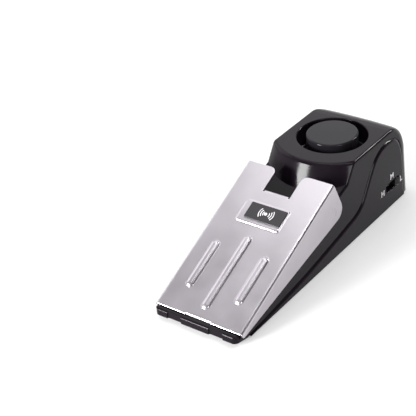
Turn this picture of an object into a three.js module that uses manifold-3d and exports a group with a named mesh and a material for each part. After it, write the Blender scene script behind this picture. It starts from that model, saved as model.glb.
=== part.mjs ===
// Door security alarm: a wedge that stops a door and sounds when its hinged plate is pressed.
// Millimetres. +Z is up, the thin tip points to -Y, and the origin is on the floor under the middle.
// Places along the body are given from its tip, and places on the plate from the plate's front edge.

import * as THREE from 'three';
import { mergeVertices } from 'three/addons/utils/BufferGeometryUtils.js';
import Module from 'manifold-3d';

const wasm = await Module();
wasm.setup();

// Body
const wall = 2;
const panelRaise = 0.7; // of the side panels
const footing = 0.6; // floor to the underside of the base
const fit = 0.3; // clearance between pieces that touch
const overrun = 2; // how far a cutter reaches past what it cuts

// Tip and ramp
const tipBarDepth = 2.2;
const tipBarTop = 5.2;
const tipBarRound = 1.2;
const tipUnderside = 1.9;
const tipTaper = 8; // how far back the underside comes down to the base
const tipSolid = 14; // solid stretch in front of the hollow
const rampStart = 3.9; // height of the ramp just behind the tip bar
const rampAngle = THREE.MathUtils.degToRad(17.9);
const lobeRecess = 0.8;
const lobeMiddleHalf = 7.2;
const lobeCornerStart = 14.5;
const tipCornerRadius = 2.6;

// Turret and rear
const turretSetback = 32.6; // from the rear end
const turretRadius = 27.8; // at the deck
const turretLean = THREE.MathUtils.degToRad(26.5);
const turretDepth = 18;
const rampCover = 12; // how far the ramp stops short of the turret's middle, inside it
const shoulderRadius = 17.5;
const rearDraft = 1.7;
const rearBow = 1.8;
const rearCornerRadius = 4.5;

// Siren
const sirenSetback = 34.6; // from the rear end
const wellRadius = 16.4;
const wellDepth = 10;
const wellWall = 1.6;
const soundHoleRadius = 3;
const capRadius = 12;
const capRise = 1.4;
const capWall = 1.6;
const capChamfer = 0.5;
const capWindowWidth = 5;
const capWindowHeight = 3;
const capWindows = 6;
const chamberRadius = 15.5;
const chamberBore = 12.4;
const chamberHeight = 5.5;
const discRadius = 13.5;
const discThickness = 0.4;
const ceramicRadius = 9.5;
const ceramicThickness = 0.4;
const chamberEarReach = 3.6;
const chamberEarRadius = 2.4;
const chamberEarHeight = 2;

// Strike plate, measured on the sheet
const plateLength = 80;
const sheet = 0.8;
const plateFront = 2.5; // front edge of the plate, from the tip
const plateFrontHeight = 5.8;
const plateAngle = THREE.MathUtils.degToRad(24.1);
const pressAngle = THREE.MathUtils.degToRad(5.5);
const foldRadius = 1.2;
const flangeFront = 3.2;
const flangeRear = 18.4;
const flangeNoseRadius = 1.5;
const flangeCornerRadius = 5;
const notchWidth = 14;
const notchDepth = 11.7; // from the plate's rear edge
const notchCornerRadius = 3;
const reliefWidth = 0.8;
const reliefDepth = 1.3;
const tabDrop = 12.1;
const tabFoot = 4;
const tongueWidth = 13.2;
const tongueDrop = 3.7;
const tongueFoot = 1.9;
const beadRadius = 2.15;
const beadHeight = 1;
const beadPitch = 12.8;
const middleBeadStart = 5.5;
const middleBeadEnd = 43.3;
const sideBeadStart = 12.7;
const sideBeadEnd = 36.4;
const seatWidth = 23.2;
const seatStart = 49;
const seatEnd = 61.5;
const seatRaise = 0.5;
const badgeWidth = 18.5;
const badgeShift = 1.6;
const badgeStart = 51.7;
const badgeEnd = 60;
const badgeThickness = 0.4;
const hingeSet = 0.4; // hinge line, from the plate's front edge and below its top face
const hingeDrop = 2.4;

// Return spring and its cap
const springPlace = 46; // along the plate
const springRadius = 2.8;
const springWire = 0.6;
const springTurns = 6;
const springClearance = 0.4;
const springCapWall = 0.8;
const springCapSkirt = 6;
const springCapSeat = 0.6;
const springWellWall = 1.4;
const springWellFloor = 1.4;
const springWellStand = 2.06; // above the base

// Base, screws and feet
const baseThickness = 2;
const pocketDepth = 0.6;
const padThickness = 0.9;
const padFront = 29;
const padRear = 63;
const padInset = 6; // from the flanks
const padCornerRadius = 3;
const padGroovePitch = 4.2;
const padGrooveWidth = 1;
const padGrooveDepth = 0.4;
const footRadius = 3.4;
const footSpread = 7.6;
const footInset = 8.4; // from the rear end
const screwHeadRadius = 2.4;
const screwHeadHeight = 1;
const screwShankRadius = 1;
const screwLength = 7;
const slotWidth = 0.7;
const slotDepth = 0.5;
const bossRadius = 2.6;
const frontScrewPlace = 23;
const frontScrewInset = 7; // from the flanks
const rearScrewInset = 5.1;
const rearScrewSetback = 8.2; // from the rear end

// Battery and its compartment
const batteryLength = 48.5;
const batteryWidth = 26.5;
const batteryHeight = 17.5;
const batteryCornerRadius = 2;
const batteryHeadroom = 2.6;
const terminalRadius = 3;
const terminalLength = 2.8;
const terminalSpacing = 12.7;
const snapThickness = 4.8;
const snapWidth = 25;
const snapHeight = 12;
const compartmentGap = 0.9; // behind the trigger post
const compartmentWall = 1;
const compartmentRise = 9; // above the base
const compartmentSpare = 0.5;
const foamThickness = 1;
const foamHeight = 7;
const doorThickness = 1.6;
const doorTongueReach = 2.5;
const doorLedge = 0.5; // what is left of the base under a tongue
const doorGateHeight = 3; // above the base
const doorTongueWidth = 4.4;
const doorTongueSpread = 11;
const doorGripWidth = 9;
const doorGripDepth = 0.5;
const doorGripLength = 1.2;
const doorGripPitch = 2.6;
const doorGrips = 3;
const doorGripInset = 5;

// Main board
const boardThickness = 1.6;
const boardHeight = 7.4; // underside, from the floor
const boardArmWidth = 8.4;
const boardArmDepth = 8.6;
const boardSideGap = 0.5;
const boardArmEnd = 11.5; // how far the rear arm reaches towards -X
const boardScrewHeadRadius = 1.9;
const boardScrewHeadHeight = 1.1;
const boardScrewShankRadius = 0.9;
const boardScrewLength = 4.5;
const boardScrewInset = 3.6;
const standoffRadius = 2.4;

// Switches
const switchDepth = 4.4;
const switchHeight = 4.4;
const powerSwitchWidth = 8.6;
const powerSlotWidth = 8.2;
const slotHeight = 4.4;
const powerKnobWidth = 3.6;
const powerKnobHeight = 3.4;
const powerTravel = 3.8;
const powerKnobProud = 0.7; // past the rear face where the slot is
const sensitivityGap = 1.1; // in front of the screw boss
const sensitivitySwitchLength = 12.6;
const sensitivitySlotLength = 11.6;
const sensitivityKnobLength = 3.4;
const sensitivityTravel = 7.2;
const knobProud = 0.3; // past the side panel
const knobTongue = 1.2;

// Parts on the main board
const chipLength = 6.2;
const chipWidth = 5;
const chipHeight = 1.6;
const chipGap = 0.9; // to the resistors
const pinWidth = 0.6;
const pinPitch = 1.5;
const pinRows = 4;
const pinReach = 1;
const coilRadius = 3.5;
const coilHeight = 9;
const coilFlange = 1;
const coilWaist = 0.7;
const coilGap = 0.6; // to the switch behind it
const sensorRadius = 2.4;
const sensorHeight = 10.5;
const sensorGap = 1.3; // to the chip
const sensorInset = 10.2; // from the board's front edge
const resistorRadius = 1;
const resistorLength = 5.2;
const resistorWaist = 0.25;
const resistorCapLength = 1.3;
const resistorPitch = 2.5;
const resistorGap = 0.4; // to the coil
const capacitorRadius = 2.4;
const capacitorHeight = 9;
const capacitorInset = 0.8; // from the board's rear edge
const capacitorGap = 0.1; // to the cut corner
const transistorRadius = 2.2;
const transistorHeight = 4.6;
const transistorInset = 1; // from the board's edge by the battery
const transistorGap = 4.5; // from the capacitor's middle
const transistorRound = THREE.MathUtils.degToRad(115); // half of its round side
const legRadius = 0.3;
const legSpacing = 1.27;
const legLength = 1.4;

// Trigger switch under the plate's tab
const triggerBoardSize = 7.4;
const triggerBoardThickness = 1;
const triggerSwitchSize = 6;
const triggerSwitchHeight = 3.4;
const triggerButtonRadius = 1.7;
const triggerButtonHeight = 1.4;
const triggerButtonTravel = 0.3;
const triggerPostWall = 1.2;

// Leads
const leadRadius = 0.5;
const leadSides = 8;
const leadStepDiameters = 2;

// Fineness of round shapes
const fineSteps = 40;
const roundSteps = 20;
const smallSteps = 12;
const filletSteps = 4;
const bodyStations = 5;
const springTurnSteps = 8;
const springSides = 5;

const rampHeight = (place) => rampStart + (place - tipBarDepth) * Math.tan(rampAngle);
const skinDrop = wall / Math.cos(rampAngle);
const baseTop = footing + baseThickness;
const doorInside = footing + doorThickness;
const batteryBottom = doorInside + fit;

// Across: the battery's compartment and the board's long arm lie side by side between the walls
const compartmentWidth = batteryWidth + 2 * compartmentSpare;
const contentWidth = compartmentWidth + 2 * compartmentWall + boardSideGap + boardArmWidth;
const flankWidth = contentWidth + 2 * (wall + fit);
const bodyHalf = flankWidth / 2;
const sideWallInner = bodyHalf - wall;
const sideWallOuter = bodyHalf + panelRaise;
const batteryShift = sideWallInner - fit - compartmentWall - compartmentWidth / 2;
const compartmentSides = [-1, 1].map((side) => (side * compartmentWidth) / 2 - batteryShift);
const boardSide = sideWallInner - fit;
const boardArmStart = boardSide - boardArmWidth;
const plateWidth = flankWidth + 2 * (fit + sheet);
const frontScrewSpread = bodyHalf - frontScrewInset;
const rearScrewSpread = bodyHalf - rearScrewInset;
const padHalfWidth = bodyHalf - padInset;

// Up: the siren's chamber and well lie over the battery
const chamberTop = batteryBottom + batteryHeight + batteryHeadroom + chamberHeight;
const wellFloor = chamberTop + fit + wellWall;
const deckHeight = wellFloor + wellDepth;

// Where the plate lies at rest: a point along its sheet and below its top face, from the tip and up
function onPlate(along, below) {
  return [
    plateFront + along * Math.cos(plateAngle) + below * Math.sin(plateAngle),
    plateFrontHeight + along * Math.sin(plateAngle) - below * Math.cos(plateAngle),
  ];
}

const [hingePlace, hingeHeight] = onPlate(hingeSet, hingeDrop);

function afterPress([place, height]) {
  const [y, z] = [place - hingePlace, height - hingeHeight];
  return [
    hingePlace + y * Math.cos(pressAngle) + z * Math.sin(pressAngle),
    hingeHeight - y * Math.sin(pressAngle) + z * Math.cos(pressAngle),
  ];
}

const notchFloor = plateLength - notchDepth;
const [triggerPlace, footPressedHeight] = afterPress(onPlate(notchFloor - tabFoot / 2, tabDrop));

// Along, from the tip: the plate, the trigger under its tab, the battery, and the board's rear arm
const compartmentStart = triggerPlace + triggerBoardSize / 2 + compartmentGap + compartmentWall;
const batteryStart = compartmentStart + foamThickness + 2 * fit;
const batteryEnd = batteryStart + batteryLength;
const snapStart = batteryEnd + fit;
const snapEnd = snapStart + snapThickness;
const compartmentEnd = snapEnd + compartmentSpare;
const boardArmRear = compartmentEnd + compartmentWall + boardSideGap;
const boardRear = boardArmRear + boardArmDepth;
const bodyLength = boardRear + boardSideGap + wall + rearDraft;
const turretCentre = bodyLength - turretSetback;
const sirenCentre = bodyLength - sirenSetback;
const footPlace = bodyLength - footInset;
const rearScrewPlace = bodyLength - rearScrewSetback;
const fromTip = (distance) => distance - bodyLength / 2;

// The row of parts on the board's long arm, from the rear screw boss forwards
const boardNotchPlace = rearScrewPlace - bossRadius - boardSideGap;
const sensitivityPlace = boardNotchPlace - sensitivityGap - sensitivitySwitchLength / 2;
const coilPlace = sensitivityPlace - sensitivitySwitchLength / 2 - coilGap - coilRadius;
const resistorPlace = coilPlace - coilRadius - resistorGap - resistorRadius - 2 * resistorPitch;
const chipPlace = resistorPlace - resistorRadius - chipGap - chipLength / 2;
const sensorPlace = chipPlace - chipLength / 2 - sensorGap - sensorRadius;
const boardFront = sensorPlace - sensorInset;

const AXIS_X = new THREE.Vector3(1, 0, 0);
const AXIS_Y = new THREE.Vector3(0, 1, 0);
const AXIS_Z = new THREE.Vector3(0, 0, 1);
const upright = new THREE.Matrix4();
const sideways = new THREE.Matrix4().makeBasis(AXIS_Y, AXIS_Z, AXIS_X);
const lengthways = new THREE.Matrix4().makeBasis(AXIS_Z, AXIS_X, AXIS_Y);

// Solids

function signedVolume(positions, index) {
  const [a, b, c] = [new THREE.Vector3(), new THREE.Vector3(), new THREE.Vector3()];
  let six = 0;
  for (let i = 0; i < index.length; i += 3) {
    a.fromArray(positions, 3 * index[i]);
    b.fromArray(positions, 3 * index[i + 1]);
    c.fromArray(positions, 3 * index[i + 2]);
    six += a.dot(b.cross(c));
  }
  return six;
}

function toSolid(geometry) {
  const bare = geometry.clone();
  bare.deleteAttribute('normal');
  bare.deleteAttribute('uv');
  const merged = mergeVertices(bare);
  const positions = new Float32Array(merged.attributes.position.array);
  const index = [];
  const source = merged.index.array;
  for (let i = 0; i < source.length; i += 3) {
    const [a, b, c] = [source[i], source[i + 1], source[i + 2]];
    if (a !== b && b !== c && c !== a) index.push(a, b, c);
  }
  if (signedVolume(positions, index) < 0) index.reverse();
  const triVerts = new Uint32Array(index);
  return new wasm.Manifold(new wasm.Mesh({ numProp: 3, vertProperties: positions, triVerts }));
}

const join = (...solids) => solids.reduce((whole, next) => whole.add(next));
const cut = (solid, ...cutters) => cutters.reduce((left, next) => left.subtract(next), solid);

// An outline [[a, b], ...] pulled from low to high: along Z in XY, along X in YZ, along Y in ZX
function prism(outline, low, high, turn = upright) {
  const shape = new THREE.Shape(outline.map(([a, b]) => new THREE.Vector2(a, b)));
  const geometry = new THREE.ExtrudeGeometry(shape, { depth: high - low, bevelEnabled: false });
  geometry.translate(0, 0, low);
  return toSolid(geometry.applyMatrix4(turn));
}

function block([x0, x1], [y0, y1], [z0, z1]) {
  const geometry = new THREE.BoxGeometry(x1 - x0, y1 - y0, z1 - z0);
  return toSolid(geometry.translate((x0 + x1) / 2, (y0 + y1) / 2, (z0 + z1) / 2));
}

function post([x, y], radius, [z0, z1], steps = smallSteps, topRadius = radius) {
  const geometry = new THREE.CylinderGeometry(topRadius, radius, z1 - z0, steps);
  return toSolid(geometry.rotateX(Math.PI / 2).translate(x, y, (z0 + z1) / 2));
}

// A profile [[radius, z], ...], closed and turned about an upright line at x, y
function turned(profile, [x, y], steps = smallSteps) {
  const points = [...profile, profile[0]].map(([radius, z]) => new THREE.Vector2(radius, z));
  const geometry = new THREE.LatheGeometry(points, steps);
  return toSolid(geometry.rotateX(Math.PI / 2).translate(x, y, 0));
}

function arc([x, y], radius, from, to, steps = filletSteps) {
  const points = [];
  for (let i = 0; i <= steps; i += 1) {
    const angle = from + ((to - from) * i) / steps;
    points.push([x + radius * Math.cos(angle), y + radius * Math.sin(angle)]);
  }
  return points;
}

const quarter = Math.PI / 2;

function roundedRectangle([x0, x1], [y0, y1], radius) {
  return [
    ...arc([x1 - radius, y1 - radius], radius, 0, quarter),
    ...arc([x0 + radius, y1 - radius], radius, quarter, 2 * quarter),
    ...arc([x0 + radius, y0 + radius], radius, 2 * quarter, 3 * quarter),
    ...arc([x1 - radius, y0 + radius], radius, 3 * quarter, 4 * quarter),
  ];
}

// Closed rings of points, joined in order and capped at both ends
function loft(rings) {
  const count = rings[0].length;
  const positions = rings.flat(2);
  const index = [];
  for (let ring = 0; ring < rings.length - 1; ring += 1) {
    for (let i = 0; i < count; i += 1) {
      const next = (i + 1) % count;
      const [a, b] = [ring * count + i, ring * count + next];
      const [c, d] = [a + count, b + count];
      index.push(a, b, d, a, d, c);
    }
  }
  const flat = rings[0].map(([, y, z]) => new THREE.Vector2(y, z));
  const last = (rings.length - 1) * count;
  for (const [a, b, c] of THREE.ShapeUtils.triangulateShape(flat, [])) {
    index.push(c, b, a, last + a, last + b, last + c);
  }
  const geometry = new THREE.BufferGeometry();
  geometry.setAttribute('position', new THREE.Float32BufferAttribute(positions, 3));
  geometry.setIndex(index);
  return toSolid(geometry);
}

function tube(points, radius) {
  const path = new THREE.CatmullRomCurve3(points.map((point) => new THREE.Vector3(...point)));
  const section = new THREE.Shape(
    arc([0, 0], radius, 0, 4 * quarter, leadSides).slice(1).map(([a, b]) => new THREE.Vector2(a, b)),
  );
  const steps = Math.round(path.getLength() / (2 * radius * leadStepDiameters));
  return toSolid(new THREE.ExtrudeGeometry(section, { steps, extrudePath: path }));
}

function screw([x, y], head, headRadius, headHeight, shankRadius, length, up) {
  const solid = cut(
    turned(
      [
        [0, head],
        [headRadius, head],
        [headRadius, head + headHeight / 2],
        [shankRadius, head + headHeight],
        [shankRadius, head + length],
        [0, head + length],
      ],
      [0, 0],
    ),
    block([-headRadius, headRadius], [-slotWidth / 2, slotWidth / 2], [head - overrun, head + slotDepth]),
  );
  return (up ? solid : solid.rotate([180, 0, 0])).translate([x, y, 0]);
}

// Finishes

const finish = (color, roughness, metalness) => new THREE.MeshStandardMaterial({
  color, roughness, metalness, flatShading: true,
});
const blackGloss = () => finish(0x232024, 0.25, 0);
const blackMatte = () => finish(0x1c1b1d, 0.6, 0);
const rubber = () => finish(0x161616, 0.9, 0);
const stainless = () => finish(0xc9c5c9, 0.3, 1);
const zinc = () => finish(0xa9abae, 0.4, 1);
const brass = () => finish(0xc9a24b, 0.35, 1);
const boardGreen = () => finish(0x2f6b45, 0.5, 0);

const model = new THREE.Group();

function piece(name, solid, material, carrier = model) {
  const mesh = solid.getMesh();
  const geometry = new THREE.BufferGeometry();
  geometry.setAttribute('position', new THREE.BufferAttribute(mesh.vertProperties, mesh.numProp));
  geometry.setIndex(new THREE.BufferAttribute(mesh.triVerts, 1));
  const part = new THREE.Mesh(geometry, material);
  part.name = name;
  carrier.add(part);
  return part;
}

// Housing

// How far the rear face stands back at a place across the body: its bow and its rounded corners
function rearSetback(x, half, cornerRadius) {
  const across = Math.abs(x) / half;
  const into = Math.max(0, Math.abs(x) - (half - cornerRadius));
  const reach = Math.sqrt(Math.max(0, cornerRadius ** 2 - into ** 2));
  return rearBow * across ** 2 + cornerRadius - reach;
}

function stationsAcross(half, cornerRadius) {
  const flat = half - cornerRadius;
  const stations = [];
  for (let i = 0; i < bodyStations; i += 1) stations.push((flat * i) / bodyStations);
  for (let i = 0; i <= filletSteps; i += 1) {
    stations.push(flat + cornerRadius * Math.sin((quarter * i) / filletSteps));
  }
  return [...stations.slice(1).map((x) => -x).reverse(), ...stations];
}

// The long body without its turret, as the outer form or, set in by a wall, as the hollow in it
function longBody(inset, front, floor) {
  const half = bodyHalf - inset;
  const corner = rearCornerRadius - inset;
  const shoulder = shoulderRadius - inset;
  const drop = inset / Math.cos(rampAngle);
  const rear = bodyLength - inset;
  const shoulderCentre = [rear - rearDraft - shoulder, deckHeight - shoulderRadius];
  const rampEnd = turretCentre - rampCover;
  const rings = stationsAcross(half, corner).map((x) => {
    const setback = rearSetback(x, half, corner);
    const shoulderArc = arc(shoulderCentre, shoulder, 0, quarter, smallSteps / 2).map(([y, z]) => [
      y - (setback * (y - shoulderCentre[0])) / shoulder, z,
    ]);
    const ring = [
      ...front,
      [rear - setback, floor],
      ...shoulderArc,
      [turretCentre, deckHeight - inset],
      [turretCentre, rampHeight(rampEnd) - drop],
      [rampEnd, rampHeight(rampEnd) - drop],
    ];
    return ring.map(([y, z]) => [x, fromTip(y), z]);
  });
  return loft(rings);
}

function turretCone(inset) {
  const half = bodyHalf - inset;
  const sideDrop = inset / Math.cos(turretLean);
  const top = turretRadius - sideDrop + inset * Math.tan(turretLean);
  const bottom = top + turretDepth * Math.tan(turretLean);
  const centre = [0, fromTip(turretCentre)];
  const height = [deckHeight - inset - turretDepth, deckHeight - inset];
  const cone = post(centre, bottom, height, fineSteps, top);
  const reach = [fromTip(turretCentre) - bottom - overrun, fromTip(turretCentre) + overrun / 2];
  return cone.intersect(block([-half, half], reach, height));
}

function outerBody() {
  const front = [
    [tipBarDepth, rampStart],
    [tipBarDepth, tipBarTop],
    ...arc([tipBarRound, tipBarTop - tipBarRound], tipBarRound, quarter, 2 * quarter),
    [0, tipUnderside],
    [tipTaper, footing],
  ];
  return join(longBody(0, front, footing), turretCone(0));
}

function hollowBody(inset) {
  const start = tipSolid + inset - wall;
  const under = footing - overrun;
  const front = [[start, rampHeight(start) - inset / Math.cos(rampAngle)], [start, under]];
  return join(longBody(inset, front, under), turretCone(inset));
}

// Edge of the raised side panel: low along the wedge, up in an S, over an arch and down the rear
const panelEdgeShares = [
  [0.066, 0.015], [0.2, 0.07], [0.345, 0.125], [0.465, 0.19], [0.593, 0.27], [0.65, 0.315],
  [0.685, 0.39], [0.713, 0.535], [0.738, 0.67], [0.77, 0.81], [0.81, 0.885], [0.857, 0.9],
  [0.895, 0.865], [0.92, 0.775], [0.937, 0.62], [0.945, 0.4], [0.948, 0.015],
];

function panelOutline() {
  const points = panelEdgeShares.map(([y, z]) => new THREE.Vector2(
    fromTip(y * bodyLength), Math.max(footing, z * deckHeight),
  ));
  return new THREE.SplineCurve(points).getPoints(fineSteps).map(({ x, y }) => [x, y]);
}

const boardTop = boardHeight + boardThickness;
const switchMiddle = boardTop + fit + switchHeight / 2;

// Rear face at a height, in the middle of the body
function rearFace(z) {
  const share = (z - footing) / (deckHeight - shoulderRadius - footing);
  return bodyLength - rearDraft * share;
}

const rearWallInner = rearFace(switchMiddle + switchHeight / 2) - wall
  - rearSetback(powerSwitchWidth / 2, sideWallInner, rearCornerRadius);

// Slot for the plate's tongue, with room under the bar for its foot
const tongueSlotRear = plateFront + tongueDrop * Math.sin(plateAngle) + sheet + 2 * fit;
const tongueBarUnderside = tipUnderside + (tipBarTop - tipUnderside) / 2;

function tongueSlot() {
  const half = tongueWidth / 2 + fit;
  const through = [-overrun, tipBarTop + overrun];
  const slot = block([-half, half], [fromTip(tipBarDepth), fromTip(tongueSlotRear)], through);
  const undercut = block(
    [-half, half],
    [fromTip(tipBarDepth / 2), fromTip(tipBarDepth + overrun / 2)],
    [-overrun, tongueBarUnderside],
  );
  return join(slot, undercut);
}

function tipLobes() {
  const height = [-overrun, tipBarTop + overrun];
  const depth = [fromTip(-overrun), fromTip(lobeRecess)];
  return [-1, 1].map((side) => {
    const span = [side * lobeMiddleHalf, side * lobeCornerStart].sort((a, b) => a - b);
    return block(span, depth, height);
  });
}

function tipCorners() {
  const reach = [-overrun, deckHeight];
  return [-1, 1].map((side) => {
    const centre = [side * (bodyHalf - tipCornerRadius), fromTip(tipCornerRadius)];
    const span = [centre[0], side * (bodyHalf + overrun)].sort((a, b) => a - b);
    const corner = block(span, [fromTip(-overrun), centre[1]], reach);
    return corner.subtract(post(centre, tipCornerRadius, reach, roundSteps));
  });
}

// Height of the plate's underside above a place, with the plate pressed by an angle
function plateUnderside(place, pressed) {
  const slope = plateAngle - pressed;
  const reach = (hingeDrop - sheet) / Math.cos(slope);
  return hingeHeight + reach + (place - hingePlace) * Math.tan(slope);
}

// Slot in the ramp that the plate's tab drops through
const tabEnd = onPlate(notchFloor, tabDrop);
const tabWidth = notchWidth - 2 * reliefWidth;
const tabSlotFront = afterPress(onPlate(notchFloor - sheet, foldRadius + sheet))[0] - fit;
const tabSlotRear = Math.max(tabEnd[0], afterPress(tabEnd)[0]) + 2 * fit;

function tabSlot() {
  const half = tabWidth / 2 + fit;
  const place = [fromTip(tabSlotFront), fromTip(tabSlotRear)];
  return block([-half, half], place, [rampHeight(tabSlotFront) - 2 * skinDrop, deckHeight]);
}

// Spring well in the ramp, with the cap's rest and pressed heights
const springCapRadius = springRadius + springWire / 2 + springClearance + springCapWall;
const springCentre = onPlate(springPlace, 0)[0];
const springWellRadius = springCapRadius + fit;
const springWellBottom = baseTop + springWellStand + springWellFloor;

function capCentreHeight(pressed) {
  const slope = plateAngle - pressed;
  return plateUnderside(springCentre, pressed) - (springCapRadius + fit) / Math.cos(slope);
}

const bossPlaces = [
  ...[-1, 1].map((side) => [side * frontScrewSpread, frontScrewPlace]),
  ...[-1, 1].map((side) => [side * rearScrewSpread, rearScrewPlace]),
];

const earScrewHead = chamberTop - chamberEarHeight - boardScrewHeadHeight - fit;
const earPlaces = [-1, 1].map((end) => sirenCentre + end * (chamberRadius + chamberEarReach));

function housingShell() {
  const well = [0, fromTip(sirenCentre)];
  const wellOuter = wellRadius + wellWall;
  const springAt = [0, fromTip(springCentre)];
  const inside = outerBody();
  const bosses = bossPlaces.map(([x, place]) => post(
    [x, fromTip(place)], bossRadius, [baseTop + fit, deckHeight],
  ));
  const sirenBosses = earPlaces.map((place) => post(
    [0, fromTip(place)], chamberEarRadius, [chamberTop + fit, deckHeight - wall / 2],
  ));
  const springBoss = post(springAt, springWellRadius + springWellWall, [
    springWellBottom - springWellFloor, rampHeight(springCentre),
  ], roundSteps);
  const fittings = join(
    post(well, wellOuter, [wellFloor - wellWall, deckHeight - wall / 2], fineSteps),
    springBoss, ...bosses, ...sirenBosses,
  ).intersect(inside);
  const panels = [-1, 1].map((side) => {
    const span = [side * (bodyHalf - panelRaise), side * sideWallOuter].sort((a, b) => a - b);
    return prism(panelOutline(), ...span, sideways);
  });
  const shell = cut(join(outerBody(), ...panels), hollowBody(wall));
  const powerSlot = block(
    [-powerSlotWidth / 2, powerSlotWidth / 2],
    [fromTip(rearWallInner - overrun), fromTip(bodyLength + overrun)],
    [switchMiddle - slotHeight / 2, switchMiddle + slotHeight / 2],
  );
  const sensitivitySlot = block(
    [sideWallInner - overrun, sideWallOuter + overrun],
    [-1, 1].map((end) => fromTip(sensitivityPlace + (end * sensitivitySlotLength) / 2)),
    [switchMiddle - slotHeight / 2, switchMiddle + slotHeight / 2],
  );
  const pilots = bossPlaces.map(([x, place]) => post(
    [x, fromTip(place)], screwShankRadius + fit, [0, baseTop + screwLength],
  ));
  const sirenPilots = earPlaces.map((place) => post(
    [0, fromTip(place)], boardScrewShankRadius + fit, [chamberTop, earScrewHead + boardScrewLength + fit],
  ));
  return cut(
    join(shell, fittings),
    post(well, wellRadius, [wellFloor, deckHeight + overrun], fineSteps),
    post(well, soundHoleRadius, [wellFloor - wellWall - overrun, wellFloor + overrun]),
    post(springAt, springWellRadius, [springWellBottom, deckHeight], roundSteps),
    tabSlot(), tongueSlot(), ...tipLobes(), ...tipCorners(),
    powerSlot, sensitivitySlot, ...pilots, ...sirenPilots,
  );
}

piece('housing_shell', housingShell(), blackGloss());

// Siren

function sirenCap() {
  const bottom = wellFloor + fit;
  const top = deckHeight + capRise;
  const inner = capRadius - capWall;
  const body = turned([
    [0, top],
    [0, top - capWall],
    [inner, top - capWall],
    [inner, bottom],
    [capRadius, bottom],
    [capRadius, top - capChamfer],
    [capRadius - capChamfer, top],
  ], [0, 0], fineSteps);
  const windows = [];
  for (let i = 0; i < capWindows; i += 1) {
    const window = block(
      [0, capRadius + overrun],
      [-capWindowWidth / 2, capWindowWidth / 2],
      [bottom - overrun, bottom + capWindowHeight],
    );
    windows.push(window.rotate([0, 0, (360 * i) / capWindows]));
  }
  return cut(body, ...windows).translate([0, fromTip(sirenCentre), 0]);
}

const discHeight = chamberTop - chamberHeight / 2 - discThickness - fit;

function sirenChamber() {
  const centre = [0, fromTip(sirenCentre)];
  const bottom = chamberTop - chamberHeight;
  const ledge = discHeight + discThickness + fit;
  const ears = earPlaces.map((place) => join(
    post([0, fromTip(place)], chamberEarRadius, [chamberTop - chamberEarHeight, chamberTop]),
    block(
      [-chamberEarRadius, chamberEarRadius],
      [fromTip(place), centre[1] + Math.sign(place - sirenCentre) * discRadius].sort((a, b) => a - b),
      [chamberTop - chamberEarHeight, chamberTop],
    ),
  ));
  const screwHoles = earPlaces.map((place) => post(
    [0, fromTip(place)], boardScrewShankRadius + fit, [0, deckHeight],
  ));
  return cut(
    join(post(centre, chamberRadius, [bottom, chamberTop], roundSteps), ...ears),
    post(centre, chamberBore, [bottom - overrun, chamberTop + overrun], roundSteps),
    post(centre, discRadius + fit, [bottom - overrun, ledge], roundSteps),
    ...screwHoles,
  );
}

const sirenAt = [0, fromTip(sirenCentre)];
piece('siren_cap', sirenCap(), blackGloss());
piece('siren_chamber', sirenChamber(), blackMatte());
piece(
  'piezo_disc',
  post(sirenAt, discRadius, [discHeight, discHeight + discThickness], roundSteps),
  brass(),
);
piece(
  'piezo_ceramic',
  post(sirenAt, ceramicRadius, [discHeight - fit - ceramicThickness, discHeight - fit], roundSteps),
  finish(0xd8d6cf, 0.4, 0.3),
);
earPlaces.forEach((place, i) => {
  const solid = screw(
    [0, fromTip(place)], earScrewHead, boardScrewHeadRadius, boardScrewHeadHeight,
    boardScrewShankRadius, boardScrewLength, true,
  );
  piece(`chamber_screw_${i + 1}`, solid, zinc());
});

// Base

const boardScrewPlaces = [
  [(boardArmStart + boardSide) / 2, boardFront + boardScrewInset],
  [boardScrewInset / 2 - boardArmEnd, (boardArmRear + boardRear) / 2],
];

// Trigger stack: a post on the base, a small board, the switch and its button under the tab's foot
const footSlope = plateAngle - pressAngle;
const triggerButtonTop = footPressedHeight - fit / Math.cos(footSlope)
  - triggerButtonRadius * Math.tan(footSlope);
const triggerButtonBottom = triggerButtonTop - triggerButtonHeight;
const triggerSwitchTop = triggerButtonTop - triggerButtonTravel - fit - triggerButtonHeight / 2;
const triggerSwitchBottom = triggerSwitchTop - triggerSwitchHeight;
const triggerBoardTop = triggerSwitchBottom - fit;
const triggerBoardBottom = triggerBoardTop - triggerBoardThickness;

function tongueSpans() {
  return [-1, 1].map((side) => {
    const middle = -batteryShift + side * doorTongueSpread;
    return [middle - doorTongueWidth / 2, middle + doorTongueWidth / 2];
  });
}

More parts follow.
